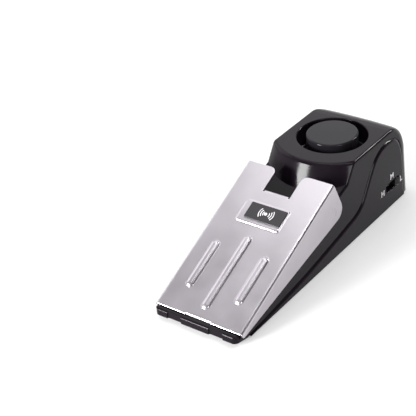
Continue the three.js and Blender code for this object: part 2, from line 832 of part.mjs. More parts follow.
function baseCover() {
  const plate = hollowBody(wall + fit).intersect(block(
    [-bodyHalf, bodyHalf], [fromTip(0), fromTip(bodyLength)], [footing, baseTop],
  ));
  const wallSides = [compartmentSides[0] - compartmentWall, compartmentSides[1] + compartmentWall];
  const wallEnds = [compartmentStart - compartmentWall, compartmentEnd + compartmentWall];
  const wallTop = baseTop + compartmentRise;
  const walls = block(wallSides, wallEnds.map(fromTip), [footing, wallTop]);
  const standoffs = boardScrewPlaces.map(([x, place]) => post(
    [x, fromTip(place)], standoffRadius, [footing, boardHeight - fit],
  ));
  const postHalf = triggerBoardSize / 2;
  const triggerPost = cut(
    block(
      [-postHalf, postHalf],
      [fromTip(triggerPlace - postHalf), fromTip(triggerPlace + postHalf)],
      [footing, triggerBoardBottom - fit],
    ),
    block(
      [triggerPostWall - postHalf, postHalf + overrun],
      [triggerPostWall - postHalf, postHalf - triggerPostWall].map((y) => fromTip(triggerPlace) + y),
      [baseTop, triggerBoardBottom + overrun],
    ),
  );
  const doorway = block(
    compartmentSides, [fromTip(compartmentStart), fromTip(compartmentEnd)], [-overrun, wallTop + overrun],
  );
  const tongueGates = tongueSpans().map(([x0, x1]) => block(
    [x0 - fit, x1 + fit],
    [fromTip(compartmentStart - doorTongueReach), fromTip(compartmentStart + fit)],
    [footing + doorLedge, baseTop + doorGateHeight],
  ));
  const pad = prism(
    roundedRectangle(
      [-padHalfWidth - fit, padHalfWidth + fit], [fromTip(padFront - fit), fromTip(padRear + fit)],
      padCornerRadius,
    ),
    footing - overrun, footing + pocketDepth,
  );
  const feet = [-1, 1].map((side) => post(
    [side * footSpread, fromTip(footPlace)], footRadius + fit, [-overrun, footing + pocketDepth], roundSteps,
  ));
  const screwHoles = bossPlaces.flatMap(([x, place]) => [
    post([x, fromTip(place)], screwShankRadius + fit, [-overrun, baseTop + overrun]),
    post([x, fromTip(place)], screwHeadRadius + fit, [-overrun, footing + screwHeadHeight + fit]),
  ]);
  const pilots = boardScrewPlaces.map(([x, place]) => post(
    [x, fromTip(place)], boardScrewShankRadius + fit,
    [boardTop - boardScrewLength - fit, boardTop + overrun],
  ));
  return cut(
    join(plate, walls, triggerPost, ...standoffs),
    doorway, pad, ...feet, ...tongueGates, ...screwHoles, ...pilots,
  );
}

function batteryDoor() {
  const sides = [compartmentSides[0] + fit, compartmentSides[1] - fit];
  const ends = [compartmentStart + fit, compartmentEnd - fit].map(fromTip);
  const panel = block(sides, ends, [footing, doorInside]);
  const tongues = tongueSpans().map((span) => block(
    span, [ends[0] - doorTongueReach, ends[0] + overrun], [footing + doorLedge + fit, doorInside],
  ));
  const grips = [];
  for (let i = 0; i < doorGrips; i += 1) {
    const place = ends[1] - doorGripInset - i * doorGripPitch;
    grips.push(block(
      [-batteryShift - doorGripWidth / 2, -batteryShift + doorGripWidth / 2],
      [place - doorGripLength, place], [footing - overrun, footing + doorGripDepth],
    ));
  }
  return cut(join(panel, ...tongues), ...grips);
}

function gripPad() {
  const outline = roundedRectangle(
    [-padHalfWidth, padHalfWidth], [fromTip(padFront), fromTip(padRear)], padCornerRadius,
  );
  const pad = prism(outline, 0, padThickness);
  const grooves = [];
  for (let place = padFront + padGroovePitch; place < padRear - padGroovePitch / 2; place += padGroovePitch) {
    grooves.push(block(
      [-padHalfWidth - overrun, padHalfWidth + overrun],
      [fromTip(place), fromTip(place + padGrooveWidth)], [-overrun, padGrooveDepth],
    ));
  }
  return cut(pad, ...grooves);
}

piece('base_cover', baseCover(), blackMatte());
piece('battery_door', batteryDoor(), blackMatte());
piece('grip_pad', gripPad(), rubber());
[-1, 1].forEach((side) => {
  const name = side < 0 ? 'rear_foot_left' : 'rear_foot_right';
  const foot = post([side * footSpread, fromTip(footPlace)], footRadius, [0, padThickness], roundSteps);
  piece(name, foot, rubber());
});
bossPlaces.forEach(([x, place], i) => {
  const solid = screw(
    [x, fromTip(place)], footing, screwHeadRadius, screwHeadHeight, screwShankRadius, screwLength, true,
  );
  piece(`base_screw_${i + 1}`, solid, zinc());
});

// Battery

function battery() {
  const height = [batteryBottom, batteryBottom + batteryHeight];
  const outline = roundedRectangle(
    height, [-batteryShift - batteryWidth / 2, -batteryShift + batteryWidth / 2], batteryCornerRadius,
  );
  const body = prism(outline, fromTip(batteryStart), fromTip(batteryEnd), lengthways);
  const terminals = [-1, 1].map((side) => prism(
    arc(
      [(height[0] + height[1]) / 2, -batteryShift + (side * terminalSpacing) / 2],
      terminalRadius, 0, 4 * quarter, smallSteps,
    ).slice(1),
    fromTip(batteryEnd - overrun), fromTip(batteryEnd + terminalLength), lengthways,
  ));
  return join(body, ...terminals);
}

const batteryMiddle = batteryBottom + batteryHeight / 2;

function batterySnap() {
  const body = block(
    [-batteryShift - snapWidth / 2, -batteryShift + snapWidth / 2],
    [fromTip(snapStart), fromTip(snapEnd)],
    [batteryMiddle - snapHeight / 2, batteryMiddle + snapHeight / 2],
  );
  const sockets = [-1, 1].map((side) => prism(
    arc(
      [batteryMiddle, -batteryShift + (side * terminalSpacing) / 2],
      terminalRadius + fit, 0, 4 * quarter, smallSteps,
    ).slice(1),
    fromTip(snapStart - overrun), fromTip(batteryEnd + terminalLength + fit), lengthways,
  ));
  return cut(body, ...sockets);
}

piece('battery', battery(), finish(0x3a4a5c, 0.35, 0.4));
piece('battery_snap', batterySnap(), blackMatte());
piece('battery_foam', block(
  [compartmentSides[0] + 2 * fit, compartmentSides[1] - 2 * fit],
  [fromTip(compartmentStart + fit), fromTip(compartmentStart + fit + foamThickness)],
  [baseTop + doorGateHeight + fit, baseTop + doorGateHeight + fit + foamHeight],
), finish(0x55585c, 0.95, 0));

// Main board and what it carries

const boardNotchSide = rearScrewSpread - bossRadius - boardSideGap;
const capacitorPlace = boardRear - capacitorInset - capacitorRadius;
const capacitorShift = boardNotchSide - capacitorGap - capacitorRadius;
const transistorPlace = boardArmRear + transistorInset + transistorRadius;
const transistorShift = capacitorShift - transistorGap;

function mainBoard() {
  const outline = [
    [boardArmStart, boardFront], [boardSide, boardFront], [boardSide, boardNotchPlace],
    [boardNotchSide, boardNotchPlace], [boardNotchSide, boardRear], [-boardArmEnd, boardRear],
    [-boardArmEnd, boardArmRear], [boardArmStart, boardArmRear],
  ].map(([x, place]) => [x, fromTip(place)]);
  const holes = boardScrewPlaces.map(([x, place]) => post(
    [x, fromTip(place)], boardScrewShankRadius + fit, [boardHeight - overrun, boardTop + overrun],
  ));
  return cut(prism(outline, boardHeight, boardTop), ...holes);
}

const armMiddle = (boardArmStart + boardSide) / 2;
const onBoard = boardTop + fit;

function chip() {
  const body = block(
    [armMiddle - chipWidth / 2, armMiddle + chipWidth / 2],
    [fromTip(chipPlace - chipLength / 2), fromTip(chipPlace + chipLength / 2)],
    [onBoard, onBoard + chipHeight],
  );
  const pins = [];
  for (let i = 0; i < pinRows; i += 1) {
    const place = chipPlace + (i - (pinRows - 1) / 2) * pinPitch;
    pins.push(block(
      [armMiddle - chipWidth / 2 - pinReach, armMiddle + chipWidth / 2 + pinReach],
      [fromTip(place - pinWidth / 2), fromTip(place + pinWidth / 2)],
      [onBoard, onBoard + chipHeight / 2],
    ));
  }
  return join(body, ...pins);
}

function coil() {
  const waist = coilRadius - coilWaist;
  const top = onBoard + coilHeight;
  return turned([
    [0, onBoard], [coilRadius, onBoard], [coilRadius, onBoard + coilFlange],
    [waist, onBoard + coilFlange], [waist, top - coilFlange],
    [coilRadius, top - coilFlange], [coilRadius, top], [0, top],
  ], [armMiddle, fromTip(coilPlace)], smallSteps);
}

function onLegs(body, [x, place], count, bottom) {
  const legs = [];
  for (let i = 0; i < count; i += 1) {
    const offset = (i - (count - 1) / 2) * legSpacing;
    legs.push(post([x, fromTip(place) + offset], legRadius, [onBoard, bottom + legLength], filletSteps));
  }
  return join(body, ...legs);
}

function vibrationSensor() {
  const bottom = onBoard + legLength;
  const at = [armMiddle, fromTip(sensorPlace)];
  return onLegs(post(at, sensorRadius, [bottom, bottom + sensorHeight]), [at[0], sensorPlace], 2, bottom);
}

function capacitor() {
  const bottom = onBoard + legLength;
  const at = [capacitorShift, fromTip(capacitorPlace)];
  const body = post(at, capacitorRadius, [bottom, bottom + capacitorHeight]);
  return onLegs(body, [capacitorShift, capacitorPlace], 2, bottom);
}

function transistor() {
  const bottom = onBoard + legLength;
  const middle = [transistorShift, fromTip(transistorPlace)];
  const outline = arc(middle, transistorRadius, -transistorRound, transistorRound, smallSteps);
  const body = prism(outline, bottom, bottom + transistorHeight);
  return onLegs(body, [transistorShift, transistorPlace], 3, bottom);
}

function resistor(place) {
  const half = resistorLength / 2;
  const waist = resistorRadius - resistorWaist;
  const cap = half - resistorCapLength;
  const profile = [
    [0, -half], [resistorRadius, -half], [resistorRadius, -cap], [waist, -cap],
    [waist, cap], [resistorRadius, cap], [resistorRadius, half], [0, half],
  ];
  return turned(profile, [0, 0]).rotate([0, 90, 0]).translate([
    armMiddle, fromTip(place), onBoard + resistorRadius,
  ]);
}

piece('main_board', mainBoard(), boardGreen());
boardScrewPlaces.forEach(([x, place], i) => {
  const solid = screw(
    [0, 0], 0, boardScrewHeadRadius, boardScrewHeadHeight, boardScrewShankRadius, boardScrewLength, false,
  ).translate([x, fromTip(place), boardTop + fit + boardScrewHeadHeight]);
  piece(`board_screw_${i + 1}`, solid, zinc());
});
piece('controller_chip', chip(), blackMatte());
piece('step_up_coil', coil(), finish(0x8a4a28, 0.4, 0.5));
piece('vibration_sensor', vibrationSensor(), finish(0x33507a, 0.5, 0));
piece('smoothing_capacitor', capacitor(), finish(0x24303f, 0.35, 0.1));
piece('drive_transistor', transistor(), blackMatte());
for (let i = 0; i < 3; i += 1) {
  piece(`resistor_${i + 1}`, resistor(resistorPlace + i * resistorPitch), finish(0xc7ad84, 0.6, 0));
}

// Slide switches

const switchHeights = [onBoard, onBoard + switchHeight];
const tongueHeights = [switchMiddle - powerKnobHeight / 4, switchMiddle + powerKnobHeight / 4];
const knobHeights = [switchMiddle - powerKnobHeight / 2, switchMiddle + powerKnobHeight / 2];

function powerSwitch() {
  const rear = rearWallInner - fit;
  const half = powerSwitchWidth / 2;
  const body = block([-half, half], [fromTip(rear - switchDepth), fromTip(rear)], switchHeights);
  const race = (powerTravel + powerKnobWidth) / 2 + fit;
  const groove = block(
    [-race, race], [fromTip(rear - knobTongue - fit), fromTip(rear + overrun)],
    [tongueHeights[0] - fit, tongueHeights[1] + fit],
  );
  return cut(body, groove);
}

function powerKnob() {
  const rear = rearWallInner - fit;
  const middle = powerTravel / 2;
  const half = powerKnobWidth / 2;
  const span = [middle - half, middle + half];
  return join(
    block(span, [fromTip(rear - knobTongue), fromTip(rear + wall)], tongueHeights),
    block(span, [fromTip(rear + fit), fromTip(rearFace(switchMiddle) + powerKnobProud)], knobHeights),
  );
}

function sensitivitySwitch() {
  const outer = sideWallInner - fit;
  const ends = [-1, 1].map((end) => fromTip(sensitivityPlace + (end * sensitivitySwitchLength) / 2));
  const race = (sensitivityTravel + sensitivityKnobLength) / 2 + fit;
  const groove = block(
    [outer - knobTongue - fit, outer + overrun],
    [fromTip(sensitivityPlace - race), fromTip(sensitivityPlace + race)],
    [tongueHeights[0] - fit, tongueHeights[1] + fit],
  );
  return cut(block([outer - switchDepth, outer], ends, switchHeights), groove);
}

function sensitivityKnob() {
  const outer = sideWallInner - fit;
  const middle = sensitivityPlace + sensitivityTravel / 2;
  const half = sensitivityKnobLength / 2;
  const span = [fromTip(middle - half), fromTip(middle + half)];
  return join(
    block([outer - knobTongue, outer + wall], span, tongueHeights),
    block([outer + fit, sideWallOuter + knobProud], span, knobHeights),
  );
}

piece('power_switch', powerSwitch(), finish(0x8f9296, 0.4, 0.8));
piece('power_knob', powerKnob(), blackMatte());
piece('sensitivity_switch', sensitivitySwitch(), finish(0x8f9296, 0.4, 0.8));
piece('sensitivity_knob', sensitivityKnob(), blackMatte());

// Trigger switch

const triggerAt = [0, fromTip(triggerPlace)];

function squareAt(size, height) {
  return block(
    [triggerAt[0] - size / 2, triggerAt[0] + size / 2],
    [triggerAt[1] - size / 2, triggerAt[1] + size / 2],
    height,
  );
}

piece(
  'trigger_board',
  squareAt(triggerBoardSize, [triggerBoardBottom, triggerBoardTop]),
  boardGreen(),
);
piece('trigger_switch', cut(
  squareAt(triggerSwitchSize, [triggerSwitchBottom, triggerSwitchTop]),
  post(
    triggerAt, triggerButtonRadius + fit,
    [triggerButtonBottom - triggerButtonTravel - fit, deckHeight],
  ),
), finish(0x2a2a2c, 0.5, 0.2));
piece('trigger_button', post(
  triggerAt, triggerButtonRadius, [triggerButtonBottom, triggerButtonTop],
), finish(0xb9b4a8, 0.5, 0));

// Return spring, on the well's floor and under its cap

const springLow = springWellBottom + fit;
const springHigh = capCentreHeight(0) + springCapSeat - fit;

function springPath() {
  const points = [];
  const steps = springTurns * springTurnSteps;
  const rise = springHigh - springLow - springWire;
  const [x, y] = [0, fromTip(springCentre)];
  for (let i = 0; i <= steps; i += 1) {
    const angle = (4 * quarter * i) / springTurnSteps;
    points.push(new THREE.Vector3(
      x + springRadius * Math.cos(angle),
      y + springRadius * Math.sin(angle),
      springLow + springWire / 2 + (rise * i) / steps,
    ));
  }
  const run = springWire;
  const start = points[0].clone().add(new THREE.Vector3(0, -run, 0));
  const end = points[steps].clone().add(new THREE.Vector3(0, run, 0));
  return [start, ...points, end];
}

// Five sides round each point of the path, in planes through the spring's middle line
function springTube() {
  const path = springPath();
  const middle = new THREE.Vector3(0, fromTip(springCentre), 0);
  const rings = path.map((point) => {
    const out = point.clone().sub(middle).setZ(0).normalize();
    return arc([0, 0], springWire / 2, 0, 4 * quarter, springSides).slice(1).map(([a, b]) => [
      point.x + out.x * a, point.y + out.y * a, point.z + b,
    ]);
  });
  return loftCapped(rings);
}

// As loft, with a fan of triangles on each end ring
function loftCapped(rings) {
  const count = rings[0].length;
  const index = [];
  for (let ring = 0; ring < rings.length - 1; ring += 1) {
    for (let i = 0; i < count; i += 1) {
      const next = (i + 1) % count;
      const [a, b] = [ring * count + i, ring * count + next];
      index.push(a, b, b + count, a, b + count, a + count);
    }
  }
  const last = (rings.length - 1) * count;
  for (let i = 1; i < count - 1; i += 1) {
    index.push(0, i + 1, i, last, last + i, last + i + 1);
  }
  const geometry = new THREE.BufferGeometry();
  geometry.setAttribute('position', new THREE.Float32BufferAttribute(rings.flat(2), 3));
  geometry.setIndex(index);
  return toSolid(geometry);
}

function springCap() {
  const middle = capCentreHeight(0);
  const at = [0, fromTip(springCentre)];
  const bore = springRadius + springWire / 2 + springClearance;
  const dome = arc([0, middle], springCapRadius, 0, quarter, smallSteps / 2);
  return turned([
    [0, middle + springCapSeat],
    [bore, middle + springCapSeat],
    [bore, middle - springCapSkirt],
    [springCapRadius, middle - springCapSkirt],
    ...dome.slice(0, -1),
    [0, middle + springCapRadius],
  ], at, roundSteps);
}

piece('return_spring', springTube(), zinc());
piece('spring_cap', springCap(), blackMatte());

// Least gap of the spring to itself, between points half a turn or more apart
function springGap() {
  const path = springPath();
  let least = Infinity;
  for (let i = 0; i < path.length; i += 1) {
    for (let j = i + springTurnSteps / 2; j < path.length; j += 1) {
      least = Math.min(least, path[i].distanceTo(path[j]) - springWire);
    }
  }
  return least;
}

// Strike plate, in its own frame: y along the sheet from the front edge, z up from its top face

function flangeOutline() {
  const slope = Math.atan2(flangeRear - flangeFront, plateLength);
  const rearAt = [plateLength - flangeCornerRadius, -flangeRear + flangeCornerRadius];
  const noseAt = [flangeNoseRadius, -flangeFront + flangeNoseRadius];
  return [
    [0, overrun],
    ...arc(noseAt, flangeNoseRadius, 2 * quarter, 3 * quarter - slope),
    ...arc(rearAt, flangeCornerRadius, 3 * quarter - slope, 4 * quarter),
    [plateLength, overrun],
  ];
}

function channel() {
  const half = plateWidth / 2;
  const inner = foldRadius - sheet;
  const low = -flangeRear - overrun;
  const across = [
    [low, half],
    ...arc([-foldRadius, half - foldRadius], foldRadius, quarter, 0),
    ...arc([-foldRadius, foldRadius - half], foldRadius, 0, -quarter),
    [low, -half],
    [low, sheet - half],
    ...arc([-foldRadius, foldRadius - half], inner, -quarter, 0),
    ...arc([-foldRadius, half - foldRadius], inner, 0, quarter),
    [low, half - sheet],
  ];
  const folded = prism(across, 0, plateLength, lengthways);
  return folded.intersect(prism(flangeOutline(), -half - overrun, half + overrun, sideways));
}

function notch() {
  const half = notchWidth / 2;
  const shoulder = plateLength - notchCornerRadius;
  const flared = half + notchCornerRadius;
  const outline = [
    [-half, notchFloor], [half, notchFloor],
    ...arc([flared, shoulder], notchCornerRadius, 2 * quarter, quarter),
    [flared, plateLength + overrun], [-flared, plateLength + overrun],
    ...arc([-flared, shoulder], notchCornerRadius, quarter, 0),
  ];
  const reliefs = [-1, 1].map((side) => block(
    [side * half, side * (half - reliefWidth)].sort((a, b) => a - b),
    [notchFloor - reliefDepth, notchFloor + overrun], [-overrun, overrun],
  ));
  return join(prism(outline, -overrun, overrun), ...reliefs);
}

// A strip folded down from the sheet's edge, as an outline along the sheet: the foot at its end
// turns back under the sheet, or away from it when its length is negative
function foldedStrip(edge, away, drop, foot) {
  const centre = [edge - away * foldRadius, -foldRadius];
  const side = away > 0 ? 0 : 2 * quarter;
  const inner = foldRadius - sheet;
  const inside = edge - away * sheet;
  const toe = edge - away * foot;
  const heel = foot > 0
    ? [[edge, -drop], [toe, -drop], [toe, sheet - drop], [inside, sheet - drop]]
    : [[edge, sheet - drop], [toe, sheet - drop], [toe, -drop], [inside, -drop]];
  return [
    [edge - away * (foldRadius + sheet), 0],
    ...arc(centre, foldRadius, quarter, side),
    ...heel,
    ...arc(centre, inner, side, quarter),
    [edge - away * (foldRadius + sheet), -sheet],
  ];
}

function strip(outline, width) {
  return prism(outline, -width / 2, width / 2, sideways);
}

// Raised bead with a hollow back: a half capsule, flattened to its height
function bead(x, start, end) {
  const straight = end - start - 2 * beadRadius;
  const capsule = (radius, height, base) => {
    const geometry = new THREE.CapsuleGeometry(radius, straight, filletSteps, smallSteps);
    geometry.scale(1, 1, height / radius);
    return toSolid(geometry.translate(x, (start + end) / 2, base));
  };
  const reach = [[x - 2 * beadRadius, x + 2 * beadRadius], [start - overrun, end + overrun]];
  const skin = capsule(beadRadius, beadHeight, 0).intersect(block(...reach, [-sheet / 2, 2 * beadHeight]));
  return [skin, capsule(beadRadius - sheet, beadHeight, -sheet)];
}

function badgeSeat() {
  const frustum = (half, y0, y1, base, top) => {
    const ring = (grow, z) => [
      [-half - grow, y0 - grow, z], [half + grow, y0 - grow, z],
      [half + grow, y1 + grow, z], [-half - grow, y1 + grow, z],
    ];
    return loftCapped([ring(top - base, base), ring(0, top)]);
  };
  const half = seatWidth / 2 - seatRaise;
  const [low, high] = [seatStart + seatRaise, seatEnd - seatRaise];
  return [
    frustum(half, low, high, -sheet / 2, seatRaise),
    frustum(half - sheet, low + sheet, high - sheet, -sheet - overrun / 2, seatRaise - sheet),
  ];
}

function strikePlate() {
  const beads = [
    bead(0, middleBeadStart, middleBeadEnd),
    bead(-beadPitch, sideBeadStart, sideBeadEnd),
    bead(beadPitch, sideBeadStart, sideBeadEnd),
  ];
  const seat = badgeSeat();
  const pressings = [...beads, seat];
  const sheetMetal = cut(channel(), notch());
  return join(
    cut(join(sheetMetal, ...pressings.map(([raised]) => raised)), ...pressings.map(([, back]) => back)),
    strip(foldedStrip(notchFloor, 1, tabDrop, tabFoot), tabWidth),
    strip(foldedStrip(0, -1, tongueDrop, -tongueFoot), tongueWidth),
  );
}

const plateGroup = new THREE.Group();
plateGroup.position.set(0, fromTip(plateFront), plateFrontHeight);
plateGroup.rotation.x = plateAngle;
model.add(plateGroup);

piece('strike_plate', strikePlate(), stainless(), plateGroup);
piece('badge', block(
  [badgeShift - badgeWidth / 2, badgeShift + badgeWidth / 2],
  [badgeStart, badgeEnd],
  [seatRaise + fit, seatRaise + fit + badgeThickness],
), blackGloss(), plateGroup);

// Leads

const lead = (name, points, color) => piece(
  name, tube(points, leadRadius), finish(color, 0.55, 0),
);

const leadRed = 0xa82020;
const leadBlack = 0x1b1b1b;
const leadYellow = 0xb8962a;
const leadBlue = 0x2b4a8a;
const leadEnd = boardTop + fit;

// Where each lead runs, point by point: across, from the tip, and up
function leadRoute(route) {
  return route.map(([x, place, z]) => [x, fromTip(place), z]);
}

const snapTop = batteryMiddle + snapHeight / 2 + fit;
const leadEdge = boardArmStart + leadRadius + fit;
[-1, 1].forEach((side) => {
  const place = (snapStart + snapEnd) / 2 + 1.4 * side;
  lead(side < 0 ? 'battery_lead_red' : 'battery_lead_black', leadRoute([
    [side - batteryShift / 2, place, snapTop],
    [side - batteryShift / 2, place, snapTop + 1.2],
    [2.5, place, snapTop + 3],
    [9, place, snapTop + 0.6],
    [leadEdge, place, leadEnd + 4.5],
    [leadEdge, place, leadEnd],
  ]), side < 0 ? leadRed : leadBlack);
});

lead('siren_lead_red', leadRoute([
  [6.5, 108.5, discHeight - 2 * fit - ceramicThickness],
  [6.5, 108.5, discHeight - 2],
  [8.2, 108.5, 21],
  [10.8, 108.7, 17.5],
  [leadEdge, 108.8, 13],
  [leadEdge, 108.8, leadEnd],
]), leadRed);
lead('siren_lead_black', leadRoute([
  [9.4, 104.2, discHeight - fit],
  [9.4, 104.2, 22.6],
  [10.5, 104.6, 19.5],
  [leadEdge, 105.5, 14],
  [leadEdge, 105.5, leadEnd],
]), leadBlack);
lead('trigger_lead_yellow', leadRoute([
  [1.2, 68.2, triggerBoardBottom - fit],
  [1.2, 68.2, 7],
  [4.2, 68.4, 5.9],
  [10, 70.2, 6.2],
  [13.4, 75, 7.6],
  [13.8, 80, 10],
  [14, 85, 12],
  [14, 89.2, 12.4],
  [14, 90.6, 11],
  [14, 90.6, leadEnd],
]), leadYellow);
lead('trigger_lead_blue', leadRoute([
  [1.2, 70.8, triggerBoardBottom - fit],
  [1.2, 70.8, 7],
  [4.2, 70.9, 5.9],
  [8, 71.4, 5.9],
  [11.4, 73.8, 6.6],
  [12, 79, 9.2],
  [11.8, 84, 11.6],
  [leadEdge, 89, 12.2],
  [leadEdge, 90.6, 11],
  [leadEdge, 90.6, leadEnd],
]), leadBlue);

// The origin of the hinge and the couplings, for whoever joints the model
const capStroke = capCentreHeight(0) - capCentreHeight(pressAngle);
console.log('hinge', fromTip(hingePlace), hingeHeight, 'cap stroke', capStroke, 'spring gap', springGap());

export default model;
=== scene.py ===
# Door security alarm: a black wedge with a round siren and a hinged steel strike plate.
# Sizes below are millimetres in the alarm's own frame, and meshes are made in metres.
# Places along the body are given from its tip, and places on the plate from its front edge.

import math

import bmesh
import bpy
from mathutils import Matrix, Vector


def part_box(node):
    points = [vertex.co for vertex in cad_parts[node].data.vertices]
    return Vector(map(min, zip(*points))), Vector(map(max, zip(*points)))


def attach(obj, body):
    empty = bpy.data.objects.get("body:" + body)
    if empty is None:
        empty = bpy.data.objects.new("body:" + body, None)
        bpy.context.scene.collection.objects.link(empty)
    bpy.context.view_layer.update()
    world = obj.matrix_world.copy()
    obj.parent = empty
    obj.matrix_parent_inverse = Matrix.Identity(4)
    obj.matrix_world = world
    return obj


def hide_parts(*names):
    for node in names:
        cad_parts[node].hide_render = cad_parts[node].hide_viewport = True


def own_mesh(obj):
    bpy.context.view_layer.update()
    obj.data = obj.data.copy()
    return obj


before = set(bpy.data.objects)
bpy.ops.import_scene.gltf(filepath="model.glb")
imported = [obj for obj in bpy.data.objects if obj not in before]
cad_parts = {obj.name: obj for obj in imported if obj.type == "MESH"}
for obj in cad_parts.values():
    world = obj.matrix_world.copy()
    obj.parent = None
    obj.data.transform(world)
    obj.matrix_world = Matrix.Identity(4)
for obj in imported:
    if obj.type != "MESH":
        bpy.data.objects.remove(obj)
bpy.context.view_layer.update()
scene = bpy.context.scene
MM = 0.001
QUARTER = math.pi / 2

# Sizes

BODY_HALF = 21.5
PANEL_OUT = 22.2
PANEL_ROUND = 1.8
WALL = 2
HOLLOW_START = 14
FOOTING = 0.6
FIT = 0.3
DECK = 40
EDGE = 1.3
TIP_TOP = 5.2
TIP_DEPTH = 2.2
TIP_ROUND = 1.2
TIP_UNDER = 1.9
TIP_TAPER = 8
RAMP_START = 3.9
RAMP_ANGLE = math.radians(17.9)
RAMP_COVER = 12
SHOULDER = 17.5
REAR_DRAFT = 1.7
REAR_BOW = 1.8
REAR_CORNER = 4.5
TURRET_RADIUS = 27.8
TURRET_LEAN = math.radians(26.5)
TURRET_DEPTH = 18
TURRET_CORNER = 2.4
WELL_RADIUS = 16.4
WELL_FLOOR = 30
CAP_RADIUS = 12
CAP_TOP = 41.4
CAP_WALL = 1.6
PLATE_ANGLE = math.radians(24.1)
PLATE_FRONT = (2.5, 5.8)
PLATE_LENGTH = 80
PLATE_HALF = 22.6
SHEET = 0.8
FOLD = 1.2
NOTCH_HALF = 7
NOTCH_FLOOR = 68.3
TAB_HALF = 6.2
TONGUE_HALF = 6.6

# Numbers of steps in the housing's mesh
SHOULDER_STEPS = 22
FLAT_STEPS = 9
CORNER_STEPS = 14
EDGE_STEPS = 5
TURRET_ARC_STEPS = 72
TURRET_RISE_STEPS = 8
ROUND_STEPS = 6

TIP_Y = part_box("housing_shell")[0].y / MM
BODY_LENGTH = -2 * TIP_Y
TURRET_CENTRE = BODY_LENGTH - 32.6
SIREN_CENTRE = BODY_LENGTH - 34.6


def from_tip(place):
    return TIP_Y + place


def ramp_height(place):
    return RAMP_START + (place - TIP_DEPTH) * math.tan(RAMP_ANGLE)


def on_plate(x, along, up):
    """A point given across the plate, along its sheet and up from its top face."""
    cosine, sine = math.cos(PLATE_ANGLE), math.sin(PLATE_ANGLE)
    return (
        x,
        from_tip(PLATE_FRONT[0] + along * cosine - up * sine),
        PLATE_FRONT[1] + along * sine + up * cosine,
    )


# Mesh making


def link(name, mesh):
    piece = bpy.data.objects.new(name, mesh)
    scene.collection.objects.link(piece)
    return piece


def solid(name, points, faces, merge=0.0005):
    """A mesh piece from points in millimetres, with doubles merged and faces outwards."""
    mesh = bpy.data.meshes.new(name)
    mesh.from_pydata([[c * MM for c in p] for p in points], [], faces)
    work = bmesh.new()
    work.from_mesh(mesh)
    bmesh.ops.remove_doubles(work, verts=work.verts, dist=merge * MM)
    bmesh.ops.recalc_face_normals(work, faces=work.faces)
    work.to_mesh(mesh)
    work.free()
    return link(name, mesh)


def ring_faces(rings, count, closed_ends=True):
    faces = []
    for ring in range(rings - 1):
        for i in range(count):
            a, b = ring * count + i, ring * count + (i + 1) % count
            faces.append((a, b, b + count, a + count))
    if closed_ends:
        faces.append(tuple(reversed(range(count))))
        faces.append(tuple(range((rings - 1) * count, rings * count)))
    return faces


def loft(name, rings):
    points = [point for ring in rings for point in ring]
    return solid(name, points, ring_faces(len(rings), len(rings[0])))


def lathe(name, profile, centre, steps):
    """A closed profile of (radius, height) turned about an upright line."""
    points = []
    for i in [*range(steps), 0]:
        x, y = math.cos(2 * math.pi * i / steps), math.sin(2 * math.pi * i / steps)
        points += [(centre[0] + r * x, centre[1] + r * y, z) for r, z in profile]
    return solid(name, points, ring_faces(steps + 1, len(profile), False))


def arc(centre, radius, start, end, steps):
    points = []
    for i in range(steps + 1):
        angle = start + (end - start) * i / steps
        points.append((centre[0] + radius * math.cos(angle), centre[1] + radius * math.sin(angle)))
    return points


def offset_outline(outline, inset):
    """A counterclockwise outline moved inwards by inset, and no corner by more than twice that."""
    moved = []
    for i, (x, y) in enumerate(outline):
        before, after = outline[i - 1], outline[(i + 1) % len(outline)]
        one = Vector((x - before[0], y - before[1])).normalized()
        two = Vector((after[0] - x, after[1] - y)).normalized()
        normal = Vector((-one.y - two.y, one.x + two.x)).normalized()
        stretch = 1 / max(0.5, normal.dot(Vector((-one.y, one.x))))
        moved.append((x + normal.x * inset * stretch, y + normal.y * inset * stretch))
    return moved


def prism(name, outline, levels, place):
    """An outline stacked at levels of (position, inset), with place(a, b, position) for each point."""
    rings = []
    for position, inset in levels:
        ring = offset_outline(outline, inset) if inset else outline
        rings.append([place(a, b, position) for a, b in ring])
    return loft(name, rings)


def along_x(a, b, position):
    return position, a, b


def along_y(a, b, position):
    return a, position, b


def along_z(a, b, position):
    return a, b, position


def rectangle(x0, x1, y0, y1, radius=0.0, steps=4):
    if not radius:
        return [(x0, y0), (x1, y0), (x1, y1), (x0, y1)]
    return (
        arc((x1 - radius, y0 + radius), radius, -QUARTER, 0, steps)
        + arc((x1 - radius, y1 - radius), radius, 0, QUARTER, steps)
        + arc((x0 + radius, y1 - radius), radius, QUARTER, 2 * QUARTER, steps)
        + arc((x0 + radius, y0 + radius), radius, 2 * QUARTER, 3 * QUARTER, steps)
    )


def rounded_levels(low, high, radius, steps):
    """Levels for prism that round its near and its far edges."""
    turn = [QUARTER * i / steps for i in range(steps + 1)]
    top = [(high - radius + radius * math.sin(t), radius * (1 - math.cos(t))) for t in turn]
    bottom = [(low + radius - radius * math.sin(t), radius * (1 - math.cos(t))) for t in reversed(turn)]
    return bottom + top


def box(name, across, along, up):
    """A plain cutter, made longer than what it cuts."""
    return prism(name, rectangle(*across, *along), [(up[0], 0), (up[1], 0)], along_z)


def post(name, centre, radius, low, high, steps=32):
    return lathe(name, [(0, low), (radius, low), (radius, high), (0, high)], centre, steps)


def applied(piece):
    """Bakes the modifiers of a piece into its mesh."""
    depsgraph = bpy.context.evaluated_depsgraph_get()
    mesh = bpy.data.meshes.new_from_object(piece.evaluated_get(depsgraph))
    piece.modifiers.clear()
    piece.data = mesh
    mesh.name = piece.name
    return piece


def combine(piece, operation, *others):
    for other in others:
        modifier = piece.modifiers.new(operation.lower(), "BOOLEAN")
        modifier.operation, modifier.solver, modifier.object = operation, "MANIFOLD", other
    applied(piece)
    for other in others:
        bpy.data.objects.remove(other)
    return piece


